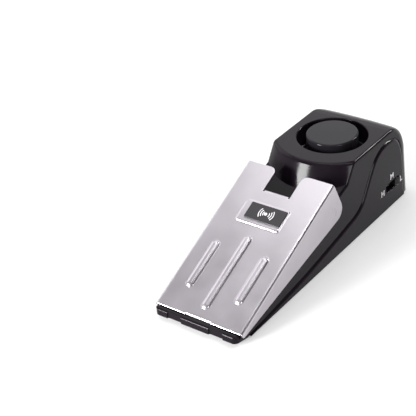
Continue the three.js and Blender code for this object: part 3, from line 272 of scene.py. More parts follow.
def copy_of(piece, name):
    return link(name, piece.data.copy())


def smooth(piece, angle=32):
    """Smooth shading that stays crisp at hard edges and flat on large faces."""
    piece.data.shade_smooth()
    piece.data.set_sharp_from_angle(angle=math.radians(angle))
    weighted = piece.modifiers.new("weighted_normals", "WEIGHTED_NORMAL")
    weighted.keep_sharp = True
    weighted.weight = 60
    return applied(piece)


def bevelled(piece, width, angle=40, segments=2):
    bevel = piece.modifiers.new("bevel", "BEVEL")
    bevel.width, bevel.segments = width * MM, segments
    bevel.limit_method, bevel.angle_limit = "ANGLE", math.radians(angle)
    bevel.use_clamp_overlap = True
    return applied(piece)


def from_solid(node, name, width):
    """A copy of a CAD node, merged, with its flat faces joined and its edges rounded."""
    piece = copy_of(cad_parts[node], name)
    piece.data.materials.clear()
    work = bmesh.new()
    work.from_mesh(piece.data)
    bmesh.ops.remove_doubles(work, verts=work.verts, dist=0.002 * MM)
    bmesh.ops.dissolve_limit(
        work, angle_limit=math.radians(1), verts=work.verts, edges=work.edges, delimit=set(),
    )
    bmesh.ops.recalc_face_normals(work, faces=work.faces)
    work.to_mesh(piece.data)
    work.free()
    return smooth(bevelled(piece, width))


# Recipes for what repeats or follows a path


class Recipe:
    """A Geometry Nodes tree under construction, with named inputs for its sizes."""

    def __init__(self, name, sizes):
        self.tree = bpy.data.node_groups.new(name, "GeometryNodeTree")
        add = self.tree.interface.new_socket
        add("Geometry", in_out="INPUT", socket_type="NodeSocketGeometry")
        add("Geometry", in_out="OUTPUT", socket_type="NodeSocketGeometry")
        for size in sizes:
            kind = "Int" if size.endswith("count") else "Vector" if size.endswith("step") else "Float"
            add(size, in_out="INPUT", socket_type="NodeSocket" + kind)
        add("Finish", in_out="INPUT", socket_type="NodeSocketMaterial")
        self.given = self.tree.nodes.new("NodeGroupInput").outputs

    def add(self, kind, inputs=None, **settings):
        """Adds a node, wires or sets its inputs, and gives its first output."""
        node = self.tree.nodes.new(kind)
        for key, value in settings.items():
            setattr(node, key, value)
        for key, value in (inputs or {}).items():
            for one in value if isinstance(value, list) else [value]:
                if isinstance(one, bpy.types.NodeSocket):
                    self.tree.links.new(one, node.inputs[key])
                else:
                    node.inputs[key].default_value = one
        return node.outputs[0]

    def math(self, operation, *values):
        return self.add("ShaderNodeMath", dict(enumerate(values)), operation=operation)

    def vector(self, x=0.0, y=0.0, z=0.0):
        return self.add("ShaderNodeCombineXYZ", {"X": x, "Y": y, "Z": z})

    def tube(self, curve, radius, sides):
        round_wire = self.add("GeometryNodeCurvePrimitiveCircle", {"Resolution": sides, "Radius": radius})
        return self.add("GeometryNodeCurveToMesh", {
            "Curve": curve, "Profile Curve": round_wire, "Fill Caps": True,
        })

    def end(self, geometry):
        real = self.add("GeometryNodeRealizeInstances", {"Geometry": geometry})
        painted = self.add("GeometryNodeSetMaterial", {
            "Geometry": real, "Material": self.given["Finish"],
        })
        output = self.tree.nodes.new("NodeGroupOutput")
        self.tree.links.new(painted, output.inputs["Geometry"])
        return self.tree

    def on_points(self, instance, rotation):
        return self.end(self.add("GeometryNodeInstanceOnPoints", {
            "Points": self.given["Geometry"], "Instance": instance, "Rotation": rotation,
        }))


def screw_recipe():
    """Pan head screws with a cross recess and a thread, one on each point, heads up when unturned.

    The numbers named below are shares of the head's height and radius, the shank's radius and the pitch.
    """
    recipe = Recipe("pan_head_screws", [
        "Head radius", "Head height", "Shank radius", "Length", "Thread pitch", "Turn",
    ])
    given, add, math_of = recipe.given, recipe.add, recipe.math
    radius, height, length = given["Head radius"], given["Head height"], given["Length"]
    shank, pitch = given["Shank radius"], given["Thread pitch"]
    dome, recess = 0.6, (1.25, 0.24)
    core_top, core_tip, thread_top, thread_tip, thread_half = 0.8, 0.6, 0.82, 0.66, 0.26
    blank = add("GeometryNodeMeshCylinder", {
        "Vertices": 32, "Side Segments": 3, "Fill Segments": 7, "Radius": radius, "Depth": height,
    })
    blank = add("GeometryNodeTransform", {
        "Geometry": blank, "Translation": recipe.vector(z=math_of("MULTIPLY", height, -0.5)),
    })
    place = add("GeometryNodeInputPosition")
    split = add("ShaderNodeSeparateXYZ", {"Vector": place})
    upper = math_of("ADD", math_of("DIVIDE", split.node.outputs["Z"], height), 1.0)
    flat = add("ShaderNodeVectorMath", {0: place, 1: (1, 1, 0)}, operation="MULTIPLY")
    away = add("ShaderNodeVectorMath", {0: flat}, operation="LENGTH").node.outputs["Value"]
    fall = math_of("POWER", math_of("DIVIDE", away, radius), 4.0)
    drop = math_of("MULTIPLY", math_of("MULTIPLY", fall, upper), math_of("MULTIPLY", height, -dome))
    head = add("GeometryNodeSetPosition", {"Geometry": blank, "Offset": recipe.vector(z=drop)})
    reach, width = (math_of("MULTIPLY", radius, share) for share in recess)
    arms = [
        add("GeometryNodeMeshCube", {"Size": recipe.vector(*across, z=height)})
        for across in ((reach, width), (width, reach))
    ]
    head = add("GeometryNodeMeshBoolean", {"Mesh 1": head, "Mesh 2": arms}, operation="DIFFERENCE")
    shank_length = math_of("SUBTRACT", length, height)
    core = add("GeometryNodeMeshCone", {
        "Vertices": 20, "Radius Top": math_of("MULTIPLY", shank, core_top),
        "Radius Bottom": math_of("MULTIPLY", shank, core_tip), "Depth": shank_length,
    })
    low = math_of("MULTIPLY", length, -1.0)
    core = add("GeometryNodeTransform", {"Geometry": core, "Translation": recipe.vector(z=low)})
    thread_run = math_of("SUBTRACT", shank_length, pitch)
    thread = add("GeometryNodeCurveSpiral", {
        "Resolution": 14, "Rotations": math_of("DIVIDE", thread_run, pitch),
        "Start Radius": math_of("MULTIPLY", shank, thread_tip),
        "End Radius": math_of("MULTIPLY", shank, thread_top), "Height": thread_run,
    })
    thread = recipe.tube(thread, math_of("MULTIPLY", pitch, thread_half), 4)
    lift = math_of("ADD", low, math_of("MULTIPLY", pitch, 0.4))
    thread = add("GeometryNodeTransform", {"Geometry": thread, "Translation": recipe.vector(z=lift)})
    whole = add("GeometryNodeJoinGeometry", {"Geometry": [head, core, thread]})
    return recipe.on_points(whole, recipe.vector(given["Turn"]))


def wire_recipe():
    """A round wire or lead along a route of points, turned into one smooth run."""
    recipe = Recipe("wire_along_route", ["Radius", "Spacing"])
    run = recipe.add("GeometryNodeMeshToCurve", {"Mesh": recipe.given["Geometry"]})
    run = recipe.add("GeometryNodeCurveSplineType", {"Curve": run}, spline_type="CATMULL_ROM")
    run = recipe.add("GeometryNodeResampleCurve", {
        "Curve": run, "Length": recipe.given["Spacing"],
    }, mode="LENGTH")
    return recipe.end(recipe.tube(run, recipe.given["Radius"], 14))


def row_recipe():
    """A row of round-edged bars along one step, as the tool that presses grooves has them."""
    recipe = Recipe("row_of_bars", ["Bar count", "Row step", "Length", "Width", "Height", "Rounding"])
    given, add = recipe.given, recipe.add
    outline = add("GeometryNodeCurvePrimitiveQuadrilateral", {
        "Width": given["Width"], "Height": given["Height"],
    })
    outline = add("GeometryNodeFilletCurve", {
        "Curve": outline, "Radius": given["Rounding"], "Count": 4, "Limit Radius": True,
    }, mode="POLY")
    half = recipe.math("MULTIPLY", given["Length"], 0.5)
    path = add("GeometryNodeCurvePrimitiveLine", {
        "Start": recipe.vector(recipe.math("MULTIPLY", half, -1.0)), "End": recipe.vector(half),
    })
    bar = add("GeometryNodeCurveToMesh", {"Curve": path, "Profile Curve": outline, "Fill Caps": True})
    row = add("GeometryNodeMeshLine", {"Count": given["Bar count"], "Offset": given["Row step"]})
    row = add("GeometryNodeInstanceOnPoints", {"Points": row, "Instance": bar})
    return recipe.end(row)


def window_recipe():
    """Cuts a ring of windows out of the wall that comes in."""
    recipe = Recipe("ring_of_windows", ["Window count", "Ring radius", "Width", "Height", "Depth"])
    given, add = recipe.given, recipe.add
    ring = add("GeometryNodeMeshCircle", {
        "Vertices": given["Window count"], "Radius": given["Ring radius"],
    })
    facing = add("FunctionNodeAlignEulerToVector", {
        "Vector": add("GeometryNodeInputPosition"),
    }, axis="X")
    block = add("GeometryNodeMeshCube", {
        "Size": recipe.vector(given["Depth"], given["Width"], given["Height"]),
    })
    windows = add("GeometryNodeInstanceOnPoints", {
        "Points": ring, "Instance": block, "Rotation": facing,
    })
    windows = add("GeometryNodeRealizeInstances", {"Geometry": windows})
    return recipe.end(add("GeometryNodeMeshBoolean", {
        "Mesh 1": given["Geometry"], "Mesh 2": windows,
    }, operation="DIFFERENCE", solver="MANIFOLD"))


SCREWS, WIRE, ROW, WINDOWS = screw_recipe(), wire_recipe(), row_recipe(), window_recipe()


def follow(piece, recipe, finish, sizes):
    """Runs a recipe on a piece and bakes it. Sizes are millimetres, but for counts and turns."""
    modifier = piece.modifiers.new("recipe", "NODES")
    modifier.node_group = recipe
    for item in recipe.interface.items_tree:
        if item.in_out == "OUTPUT" or item.name == "Geometry":
            continue
        if item.name == "Finish":
            modifier[item.identifier] = finish
        elif item.name.endswith("count"):
            modifier[item.identifier] = int(sizes[item.name])
        elif item.name.endswith("step"):
            modifier[item.identifier] = [c * MM for c in sizes[item.name]]
        else:
            modifier[item.identifier] = sizes[item.name] * (1 if item.name == "Turn" else MM)
    return applied(piece)


def points_only(name, points, joined=False):
    mesh = bpy.data.meshes.new(name)
    edges = [(i, i + 1) for i in range(len(points) - 1)] if joined else []
    mesh.from_pydata([[c * MM for c in p] for p in points], edges, [])
    return link(name, mesh)


# Finishes


class Finish:
    """A material under construction: nodes are added to it and wired by name."""

    def __init__(self, name):
        self.material = bpy.data.materials.new(name)
        self.material.use_nodes = True
        self.tree = self.material.node_tree
        self.shader = self.tree.nodes["Principled BSDF"]
        self.place = self.tree.nodes.new("ShaderNodeTexCoord").outputs["Object"]

    def node(self, kind, inputs=None, **settings):
        node = self.tree.nodes.new("ShaderNode" + kind)
        for key, value in settings.items():
            setattr(node, key, value)
        for key, value in (inputs or {}).items():
            self.set(node.inputs[key], value)
        return node

    def set(self, socket, value):
        if isinstance(value, bpy.types.NodeSocket):
            self.tree.links.new(value, socket)
        else:
            socket.default_value = value

    def plain(self, **values):
        for key, value in values.items():
            self.set(self.shader.inputs[key.replace("_", " ")], value)

    def noise(self, per_mm, detail=3, stretch=(1, 1, 1), turn=0.0):
        place = self.node("Mapping", {
            "Vector": self.place, "Scale": stretch, "Rotation": (turn, 0, 0),
        }).outputs["Vector"]
        return self.node("TexNoise", {
            "Vector": place, "Scale": per_mm / MM, "Detail": detail,
        }).outputs["Fac"]

    def spread(self, value, low, high):
        """Maps the middle of a noise to a range of values."""
        return self.node("MapRange", {
            "Value": value, "From Min": 0.3, "From Max": 0.7, "To Min": low, "To Max": high,
        }).outputs["Result"]

    def mix(self, share, one, two):
        mix = self.node("Mix", data_type="RGBA")
        self.set(mix.inputs["Factor"], share)
        self.set(mix.inputs["A"], (*one, 1) if isinstance(one, tuple) else one)
        self.set(mix.inputs["B"], (*two, 1) if isinstance(two, tuple) else two)
        return mix.outputs["Result"]

    def bump(self, height, depth_mm):
        normal = self.node("Bump", {"Height": height, "Distance": depth_mm * MM, "Strength": 1.0})
        self.set(self.shader.inputs["Normal"], normal.outputs["Normal"])


def moulded_plastic(name, dark, light, roughness, grain_per_mm, grain_mm, specular=0.5):
    """Injection moulded plastic: faint tone drift, uneven gloss and a fine grain."""
    finish = Finish(name)
    drift, gloss = finish.noise(0.05), finish.noise(0.18, 5)
    finish.plain(
        Base_Color=finish.mix(finish.spread(drift, 0, 1), dark, light),
        Roughness=finish.spread(gloss, *roughness),
        Specular_IOR_Level=specular,
    )
    finish.bump(finish.noise(grain_per_mm, 4), grain_mm)
    return finish.material


def rolled_metal(name, dark, light, roughness, stretch=(1, 1, 1), turn=0.0, depth_mm=0.004, lines=5):
    """Sheet or plated metal: rolling lines along one way, with cloudy changes of gloss."""
    finish = Finish(name)
    streaks = finish.noise(lines, 3, stretch, turn)
    clouds = finish.noise(0.06, 4)
    finish.plain(
        Base_Color=finish.mix(finish.spread(clouds, 0, 1), dark, light),
        Roughness=finish.spread(clouds, *roughness),
        Metallic=1.0,
    )
    finish.bump(streaks, depth_mm)
    return finish.material


def winding(name, dark, light, wires_per_mm):
    """Enamelled wire wound in even turns up the coil, pale on each turn and dark between the turns: painted
    highlight and shade.
    """
    finish = Finish(name)
    lines = finish.node("TexWave", {
        "Vector": finish.place, "Scale": wires_per_mm / MM / 20, "Distortion": 0.2,
    }, bands_direction="Z").outputs["Fac"]
    # The colour follows the turns: painted highlight on each wire and painted shade between them
    finish.plain(Base_Color=finish.mix(lines, dark, light), Roughness=0.32, Metallic=0.9)
    finish.bump(lines, 0.12)
    return finish.material


def banded(name, along, start, step, base, bands, roughness):
    """Plain colour bands at set places along one axis, over a base colour."""
    finish = Finish(name)
    split = finish.node("SeparateXYZ", {"Vector": finish.place})
    share = finish.node("MapRange", {
        "Value": split.outputs[along], "From Min": start * MM, "From Max": (start + step) * MM,
    }).outputs["Result"]
    ramp = finish.node("ValToRGB", {"Fac": share})
    ramp.color_ramp.interpolation = "CONSTANT"
    ramp.color_ramp.elements[0].color = (*base, 1)
    ramp.color_ramp.elements[1].position = 0.99
    ramp.color_ramp.elements[1].color = (*base, 1)
    for place, width, colour in bands:
        ramp.color_ramp.elements.new(place).color = (*colour, 1)
        ramp.color_ramp.elements.new(place + width).color = (*base, 1)
    clouds = finish.noise(0.3, 4)
    finish.plain(
        Base_Color=finish.mix(finish.spread(clouds, 0, 0.12), ramp.outputs["Color"], (0.1, 0.1, 0.1)),
        Roughness=finish.spread(clouds, *roughness),
    )
    finish.bump(finish.noise(1.5), 0.01)
    return finish.material


def solder_mask(name, mask, track):
    """Circuit board lacquer with tracks showing through as paler lines."""
    finish = Finish(name)
    cells = finish.node("TexBrick", {
        "Vector": finish.place, "Scale": 1 / MM / 6, "Mortar Size": 0.035, "Mortar Smooth": 0.3,
        "Color1": (0, 0, 0, 1), "Color2": (0.25, 0.25, 0.25, 1), "Mortar": (1, 1, 1, 1),
    }, offset=0.37, squash=0.8).outputs["Color"]
    finish.plain(Base_Color=finish.mix(cells, mask, track), Roughness=0.3)
    finish.bump(cells, 0.03)
    return finish.material


def open_foam(name, dark, light):
    """Foam rubber with open cells, darkest in their middles: the dark cell middles are painted shade in the
    pores.
    """
    finish = Finish(name)
    cells = finish.node("TexVoronoi", {"Vector": finish.place, "Scale": 2.2 / MM}).outputs["Distance"]
    # Dark in each cell's middle and pale at its rim: painted shade in the pores
    finish.plain(Base_Color=finish.mix(cells, dark, light), Roughness=0.95)
    finish.bump(cells, 0.15)
    return finish.material


def sheathing(name, colour):
    """Soft lead insulation, a little paler where it is rubbed."""
    paler = tuple(min(1, c * 1.35 + 0.01) for c in colour)
    return moulded_plastic(name, colour, paler, (0.38, 0.5), 2, 0.01)


CAP_BLACK = moulded_plastic(
    "siren_cap_plastic", (0.0095, 0.0085, 0.0105), (0.013, 0.0115, 0.0145), (0.13, 0.19), 3, 0.003, 0.13,
)
BADGE_BLACK = moulded_plastic(
    "badge_panel_plastic", (0.021, 0.019, 0.021), (0.026, 0.024, 0.026), (0.3, 0.4), 4, 0.004, 0.35,
)
KNOB_BLACK = moulded_plastic(
    "slide_knob_plastic", (0.004, 0.0038, 0.0042), (0.0065, 0.006, 0.0067), (0.3, 0.4), 2.4, 0.01, 0.2,
)
INK = moulded_plastic("pale_ink", (0.62, 0.6, 0.63), (0.74, 0.72, 0.75), (0.45, 0.6), 5, 0.01)
SPRING_STEEL = rolled_metal("spring_steel_wire", (0.38, 0.38, 0.39), (0.5, 0.5, 0.51), (0.25, 0.38))
GOLD, RED, VIOLET, BROWN = (0.4, 0.24, 0.06), (0.3, 0.02, 0.015), (0.1, 0.02, 0.2), (0.07, 0.025, 0.01)

# The finish of each slot, for the pieces that have none of the finishes above
FINISHES = {
    "gloss_black": moulded_plastic(
        "gloss_black_plastic", (0.006, 0.0038, 0.0064), (0.0085, 0.0058, 0.0088), (0.12, 0.18),
        1.6, 0.003, 0.11,
    ),
    "matte_black": moulded_plastic(
        "grained_black_plastic", (0.016, 0.0155, 0.0165), (0.024, 0.023, 0.024), (0.42, 0.56), 2.4, 0.03,
    ),
    "rubber": moulded_plastic(
        "grip_rubber", (0.016, 0.016, 0.016), (0.028, 0.027, 0.026), (0.72, 0.88), 1.3, 0.05, 0.3,
    ),
    "stainless": rolled_metal(
        "stainless_sheet", (0.5, 0.472, 0.508), (0.55, 0.52, 0.56), (0.27, 0.33),
        (1.0, 0.05, 1.0), -PLATE_ANGLE, 0.0006, 1.4,
    ),
    "zinc": rolled_metal("zinc_plating", (0.42, 0.43, 0.44), (0.58, 0.59, 0.6), (0.28, 0.42)),
    "switch_steel": rolled_metal("switch_steel", (0.5, 0.5, 0.5), (0.62, 0.62, 0.61), (0.25, 0.4)),
    "brass": rolled_metal("rolled_brass", (0.58, 0.4, 0.15), (0.7, 0.5, 0.22), (0.24, 0.38)),
    "ceramic": moulded_plastic(
        "silvered_ceramic", (0.5, 0.5, 0.48), (0.66, 0.66, 0.63), (0.3, 0.45), 1, 0.01,
    ),
    "foam": open_foam("open_cell_foam", (0.012, 0.012, 0.013), (0.06, 0.06, 0.062)),
    "battery_case": banded(
        "battery_film", "Y", from_tip(76.6), 51.3, (0.06, 0.075, 0.1),
        [(0.0, 0.06, (0.45, 0.45, 0.46)), (0.66, 0.2, (0.42, 0.42, 0.44))], (0.28, 0.38),
    ),
    "board_green": solder_mask("solder_mask_green", (0.008, 0.07, 0.025), (0.03, 0.16, 0.06)),
    "coil_copper": winding("enamelled_copper", (0.3, 0.09, 0.03), (0.6, 0.24, 0.09), 2.2),
    "sensor_blue": moulded_plastic(
        "sensor_can", (0.02, 0.06, 0.2), (0.03, 0.09, 0.27), (0.25, 0.35), 1, 0.01,
    ),
    "capacitor_sleeve": moulded_plastic(
        "capacitor_sleeve", (0.012, 0.014, 0.03), (0.02, 0.022, 0.045), (0.25, 0.35), 1, 0.01,
    ),
    "resistor_tan": banded(
        "banded_resistor", "X", 12.4, 5.2, (0.5, 0.34, 0.18),
        [(0.2, 0.08, BROWN), (0.38, 0.08, RED), (0.55, 0.08, VIOLET), (0.76, 0.08, GOLD)], (0.35, 0.45),
    ),
    "button_grey": moulded_plastic("grey_button", (0.2, 0.2, 0.2), (0.26, 0.26, 0.26), (0.4, 0.5), 2, 0.01),
    "lead_red": sheathing("red_lead", (0.36, 0.012, 0.012)),
    "lead_black": sheathing("black_lead", (0.014, 0.014, 0.014)),
    "lead_yellow": sheathing("yellow_lead", (0.5, 0.32, 0.02)),
    "lead_blue": sheathing("blue_lead", (0.02, 0.08, 0.3)),
}


def wear(piece, body, slot, *nodes, finish=None):
    """Gives a piece its body and the slot's finish or its own, and hides the nodes it stands for."""
    piece.data.materials.clear()
    piece.data.materials.append(finish or FINISHES[slot])
    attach(piece, body)
    if nodes:
        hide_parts(*nodes)
    return piece


# Housing


def body_ring(x, half, corner, inset, front, floor):
    """Outline of the long body in one upright plane, set in by inset from the outer form."""
    across = abs(x) / half
    into = max(0.0, abs(x) - (half - corner))
    setback = REAR_BOW * across ** 2 + corner - math.sqrt(max(0.0, corner ** 2 - into ** 2))
    shoulder = SHOULDER - inset
    drop = inset / math.cos(RAMP_ANGLE)
    centre = (BODY_LENGTH - REAR_DRAFT - SHOULDER, DECK - SHOULDER)
    ring = list(front)
    ring.append((BODY_LENGTH - inset - setback, floor))
    for y, z in arc(centre, shoulder, 0, QUARTER, SHOULDER_STEPS):
        ring.append((y - setback * (y - centre[0]) / shoulder, z))
    ramp_end = TURRET_CENTRE - RAMP_COVER
    ring += [
        (TURRET_CENTRE, DECK - inset),
        (TURRET_CENTRE, ramp_height(ramp_end) - drop),
        (ramp_end, ramp_height(ramp_end) - drop),
    ]
    return [(x, from_tip(y), z) for y, z in ring]


def stations(half, corner, edge):
    """Places across the body: even ones, then close ones round the corner and the edge."""
    flat = half - corner
    found = {flat * i / FLAT_STEPS for i in range(FLAT_STEPS)}
    found |= {flat + corner * math.sin(QUARTER * i / CORNER_STEPS) for i in range(CORNER_STEPS + 1)}
    if edge:
        found |= {half - edge + edge * math.sin(QUARTER * i / EDGE_STEPS) for i in range(EDGE_STEPS + 1)}
    ordered = sorted(found)
    too_close = 0.004
    apart = [x for x, after in zip(ordered, ordered[1:]) if after - x > too_close] + [ordered[-1]]
    return [-x for x in reversed(apart[1:])] + apart


def outer_body():
    """The long body with its wedge tip and its rounded rear, all edges rounded."""
    rings = []
    for x in stations(BODY_HALF, REAR_CORNER, EDGE):
        into = max(0.0, abs(x) - (BODY_HALF - EDGE))
        inset = EDGE - math.sqrt(max(0.0, EDGE ** 2 - into ** 2))
        at_tip = inset / 2
        front = [
            (TIP_DEPTH, RAMP_START - inset / math.cos(RAMP_ANGLE)),
            (TIP_DEPTH, TIP_TOP - at_tip),
            *arc(
                (TIP_ROUND, TIP_TOP - TIP_ROUND), TIP_ROUND - at_tip, QUARTER, 2 * QUARTER, ROUND_STEPS,
            ),
            (at_tip, TIP_UNDER + at_tip / 2),
            (TIP_TAPER, FOOTING),
        ]
        rings.append(body_ring(x, BODY_HALF, REAR_CORNER, inset, front, FOOTING))
    return loft("housing", rings)


def hollow_body():
    """The room inside the body, open below."""
    front = [
        (HOLLOW_START, ramp_height(HOLLOW_START) - WALL / math.cos(RAMP_ANGLE)),
        (HOLLOW_START, FOOTING - 2),
    ]
    half = BODY_HALF - WALL
    return loft("hollow", [
        body_ring(x, half, REAR_CORNER - WALL, WALL, front, FOOTING - 2)
        for x in stations(half, REAR_CORNER - WALL, 0)
    ])


def turret_section(radius, half, corner, z):
    """A disc cut off at both sides, with the corners between arc and side rounded."""
    side = half - corner
    reach = math.sqrt((radius - corner) ** 2 - side ** 2)
    turn = math.atan2(reach, side)
    right = arc((side, -reach), corner, 0, -turn, ROUND_STEPS)
    front = arc((0, 0), radius, -turn, turn - math.pi, TURRET_ARC_STEPS)[1:-1]
    left = [(-x, y) for x, y in reversed(right)]
    outline = [(half, 1), *right, *front, *left, (-half, 1)]
    return [(x, from_tip(TURRET_CENTRE) + y, z) for x, y in outline]


def turret(inset, edge, corner):
    """The turret's leaning drum, set in by inset from the outer form, with its top edge rounded."""
    half = BODY_HALF - inset
    lean = math.tan(TURRET_LEAN)
    sharpest = 0.4

    def section(z, more):
        radius = TURRET_RADIUS + (DECK - z) * lean - inset / math.cos(TURRET_LEAN) - more
        return turret_section(radius, half - more, max(sharpest, corner - more), z)

    top = DECK - inset - edge
    low = DECK - inset - TURRET_DEPTH
    levels = [(low + (top - low) * i / TURRET_RISE_STEPS, 0) for i in range(TURRET_RISE_STEPS + 1)]
    if edge:
        turns = [QUARTER * i / ROUND_STEPS for i in range(1, ROUND_STEPS + 1)]
        levels += [(top + edge * math.sin(turn), edge * (1 - math.cos(turn))) for turn in turns]
    return loft("turret", [section(z, more) for z, more in levels])


# Edge of the raised side panel, as shares of the body's length and of the deck's height
PANEL_EDGE_SHARES = [
    (0.066, 0.015), (0.2, 0.07), (0.345, 0.125), (0.465, 0.19), (0.593, 0.27), (0.65, 0.315),
    (0.685, 0.39), (0.713, 0.535), (0.738, 0.67), (0.77, 0.81), (0.81, 0.885), (0.857, 0.9),
    (0.895, 0.865), (0.92, 0.775), (0.937, 0.62), (0.945, 0.4), (0.948, 0.015),
]

# Each level of the groove round it: how far out of the body's side, and how far beyond the edge
PANEL_GROOVE = [(-0.3, 0.22), (-0.12, 0.26), (0.02, 0.4), (0.3, 0.8)]


def spline(points, steps):
    """A smooth curve through points, with a number of steps between each two."""
    found = []
    for i in range(len(points) - 1):
        p0, p1 = Vector(points[max(0, i - 1)]), Vector(points[i])
        p2, p3 = Vector(points[i + 1]), Vector(points[min(len(points) - 1, i + 2)])
        for k in range(steps):
            t = k / steps
            found.append(tuple(
                0.5 * (2 * p1 + (p2 - p0) * t + (2 * p0 - 5 * p1 + 4 * p2 - p3) * t * t
                       + (3 * p1 - p0 - 3 * p2 + p3) * t ** 3)
            ))
    return found + [tuple(points[-1])]


def panel_outline():
    """Edge of the raised side panel, counterclockwise in (y, z)."""
    points = [
        (from_tip(y * BODY_LENGTH), max(FOOTING, z * DECK)) for y, z in PANEL_EDGE_SHARES
    ]
    return [(y, max(FOOTING, z)) for y, z in reversed(spline(points, 7))]


def side_panels():
    """Raised side panels with rounded edges, rounded less where they run out low."""
    outline = panel_outline()
    inwards = offset_outline(outline, 1)
    panels = []
    for side in (-1, 1):
        rings = [[(side * (PANEL_OUT - PANEL_ROUND - 0.1), y, z) for y, z in outline]]
        for i in range(8):
            turn = QUARTER * i / 7
            x = side * (PANEL_OUT - PANEL_ROUND + PANEL_ROUND * math.sin(turn))
            ring = []
            for (y, z), (inner_y, inner_z) in zip(outline, inwards):
                inset = min(PANEL_ROUND, (z - FOOTING) / 2) * (1 - math.cos(turn))
                ring.append((x, y + (inner_y - y) * inset, z + (inner_z - z) * inset))
            rings.append(ring)
        panels.append(loft("panel", rings))
    return panels


def panel_grooves():
    """Cutters for the narrow groove round each side panel, widest at the surface."""
    outline = panel_outline()
    grooves = []
    for side in (-1, 1):
        levels = [(side * (BODY_HALF + out), -width) for out, width in PANEL_GROOVE]
        grooves.append(prism("groove", outline, levels, along_x))
    return grooves


# Places and sizes of the bosses, wells, slots and windows. The rear face leans in at the switch
BOSS_PLACES = [(-14.5, 23), (14.5, 23), (-16.4, BODY_LENGTH - 8.2), (16.4, BODY_LENGTH - 8.2)]
BOSS_RADIUS = 2.6
BOSS_PILOT = 1.3
BOSS_PILOT_TOP = 9.6
EAR_PLACES = [SIREN_CENTRE - 19.1, SIREN_CENTRE + 19.1]
EAR_BOSS_RADIUS = 2.4
EAR_PILOT = 1.2
EAR_PILOT_TOP = 29.5
CHAMBER_TOP = 28.1
WELL_RIM = 0.55
WELL_FILLET = 0.6
WELL_WALL = 1.6
SOUND_HOLE = 3
SPRING_PLACE = 44.49
SPRING_WELL = 4.6
SPRING_WELL_LOW = 6.06
SPRING_WELL_WALL = 1.4
TAB_SLOT = (67.01, 71.89)
TAB_SLOT_DEPTH = 4.2
TONGUE_SLOT = (TIP_DEPTH, 5.41)
TONGUE_SLIT = (1.1, 3.2)
TONGUE_SLIT_TOP = 3.55
TIP_RECESS = [(7.2, -2), (14.5, -2), (14.5, 0.45), (13.9, 0.8), (7.8, 0.8), (7.2, 0.45)]
TIP_CORNER = 2.6
REAR_INNER = 141.89
REAR_SET_IN = 0.82
SWITCH_MIDDLE = 11.5
SENSITIVITY_PLACE = BODY_LENGTH - 18.7
POWER_WINDOW_HALF = 4.1
SENSITIVITY_WINDOW_HALF = 5.8
WINDOW_HALF_HEIGHT = 2.2
WINDOW_CORNER = 0.3
WINDOW_FLARE = 0.35


def flared(outline, depth, flare, place, low):
    """A cutter whose rim opens in a small round, so that the edge that it leaves is soft."""
    levels = [(low, 0)]
    for i in range(5):
        turn = QUARTER * i / 4
        levels.append((depth - flare + flare * math.sin(turn), -flare * (1 - math.cos(turn))))
    levels.append((depth + 2, -flare))
    return prism("flared", outline, levels, place)


def well_cutter():
    """The siren's well, with a fillet round its floor and a rim that rounds over."""
    rim_middle = WELL_RADIUS + WELL_RIM
    rim = arc((rim_middle, DECK - WELL_RIM), WELL_RIM, math.pi, QUARTER, ROUND_STEPS)
    fillet = arc(
        (WELL_RADIUS - WELL_FILLET, WELL_FLOOR + WELL_FILLET), WELL_FILLET, -QUARTER, 0, 4,
    )
    profile = [(0, WELL_FLOOR), *fillet, *rim, (rim_middle, DECK + 2), (0, DECK + 2)]
    return lathe("well", profile, (0, from_tip(SIREN_CENTRE)), 128)


def housing_fittings(outer):
    """Well tube, spring boss and screw bosses, kept inside the outer form."""
    under_deck = DECK - WALL / 2
    posts = [
        post("boss", (x, from_tip(place)), BOSS_RADIUS, FOOTING + WALL + FIT, DECK, 24)
        for x, place in BOSS_PLACES
    ]
    posts += [
        post("boss", (0, from_tip(place)), EAR_BOSS_RADIUS, CHAMBER_TOP + FIT, under_deck, 24)
        for place in EAR_PLACES
    ]
    posts.append(post(
        "boss", (0, from_tip(SPRING_PLACE)), SPRING_WELL + SPRING_WELL_WALL,
        SPRING_WELL_LOW - SPRING_WELL_WALL, ramp_height(SPRING_PLACE), 48,
    ))
    fittings = post(
        "fittings", (0, from_tip(SIREN_CENTRE)), WELL_RADIUS + WELL_WALL, WELL_FLOOR - WELL_WALL,
        under_deck, 96,
    )
    combine(fittings, "UNION", *posts)
    return combine(fittings, "INTERSECT", copy_of(outer, "outer_copy"))


def switch_windows():
    """Cutters for the windows of the slide knobs, in the rear face and in the right flank."""
    up = (SWITCH_MIDDLE - WINDOW_HALF_HEIGHT, SWITCH_MIDDLE + WINDOW_HALF_HEIGHT)
    along = (
        from_tip(SENSITIVITY_PLACE - SENSITIVITY_WINDOW_HALF),
        from_tip(SENSITIVITY_PLACE + SENSITIVITY_WINDOW_HALF),
    )
    rear = flared(
        rectangle(-POWER_WINDOW_HALF, POWER_WINDOW_HALF, *up, WINDOW_CORNER),
        from_tip(BODY_LENGTH - REAR_SET_IN), WINDOW_FLARE, along_y, from_tip(REAR_INNER - 2),
    )
    side = flared(
        rectangle(*along, *up, WINDOW_CORNER), PANEL_OUT, WINDOW_FLARE, along_x, BODY_HALF - WALL - 2,
    )
    return [rear, side]


def plate_slots():
    """Cutters for the slot of the plate's tab in the ramp and for the tongue's slot in the tip."""

    def slot(half, along, low, high):
        across = (-half - FIT, half + FIT)
        return box("slot", across, (from_tip(along[0]), from_tip(along[1])), (low, high))

    return [
        slot(TAB_HALF, TAB_SLOT, ramp_height(TAB_SLOT[0]) - TAB_SLOT_DEPTH, DECK),
        slot(TONGUE_HALF, TONGUE_SLOT, -2, 8),
        slot(TONGUE_HALF, TONGUE_SLIT, -2, TONGUE_SLIT_TOP),
    ]


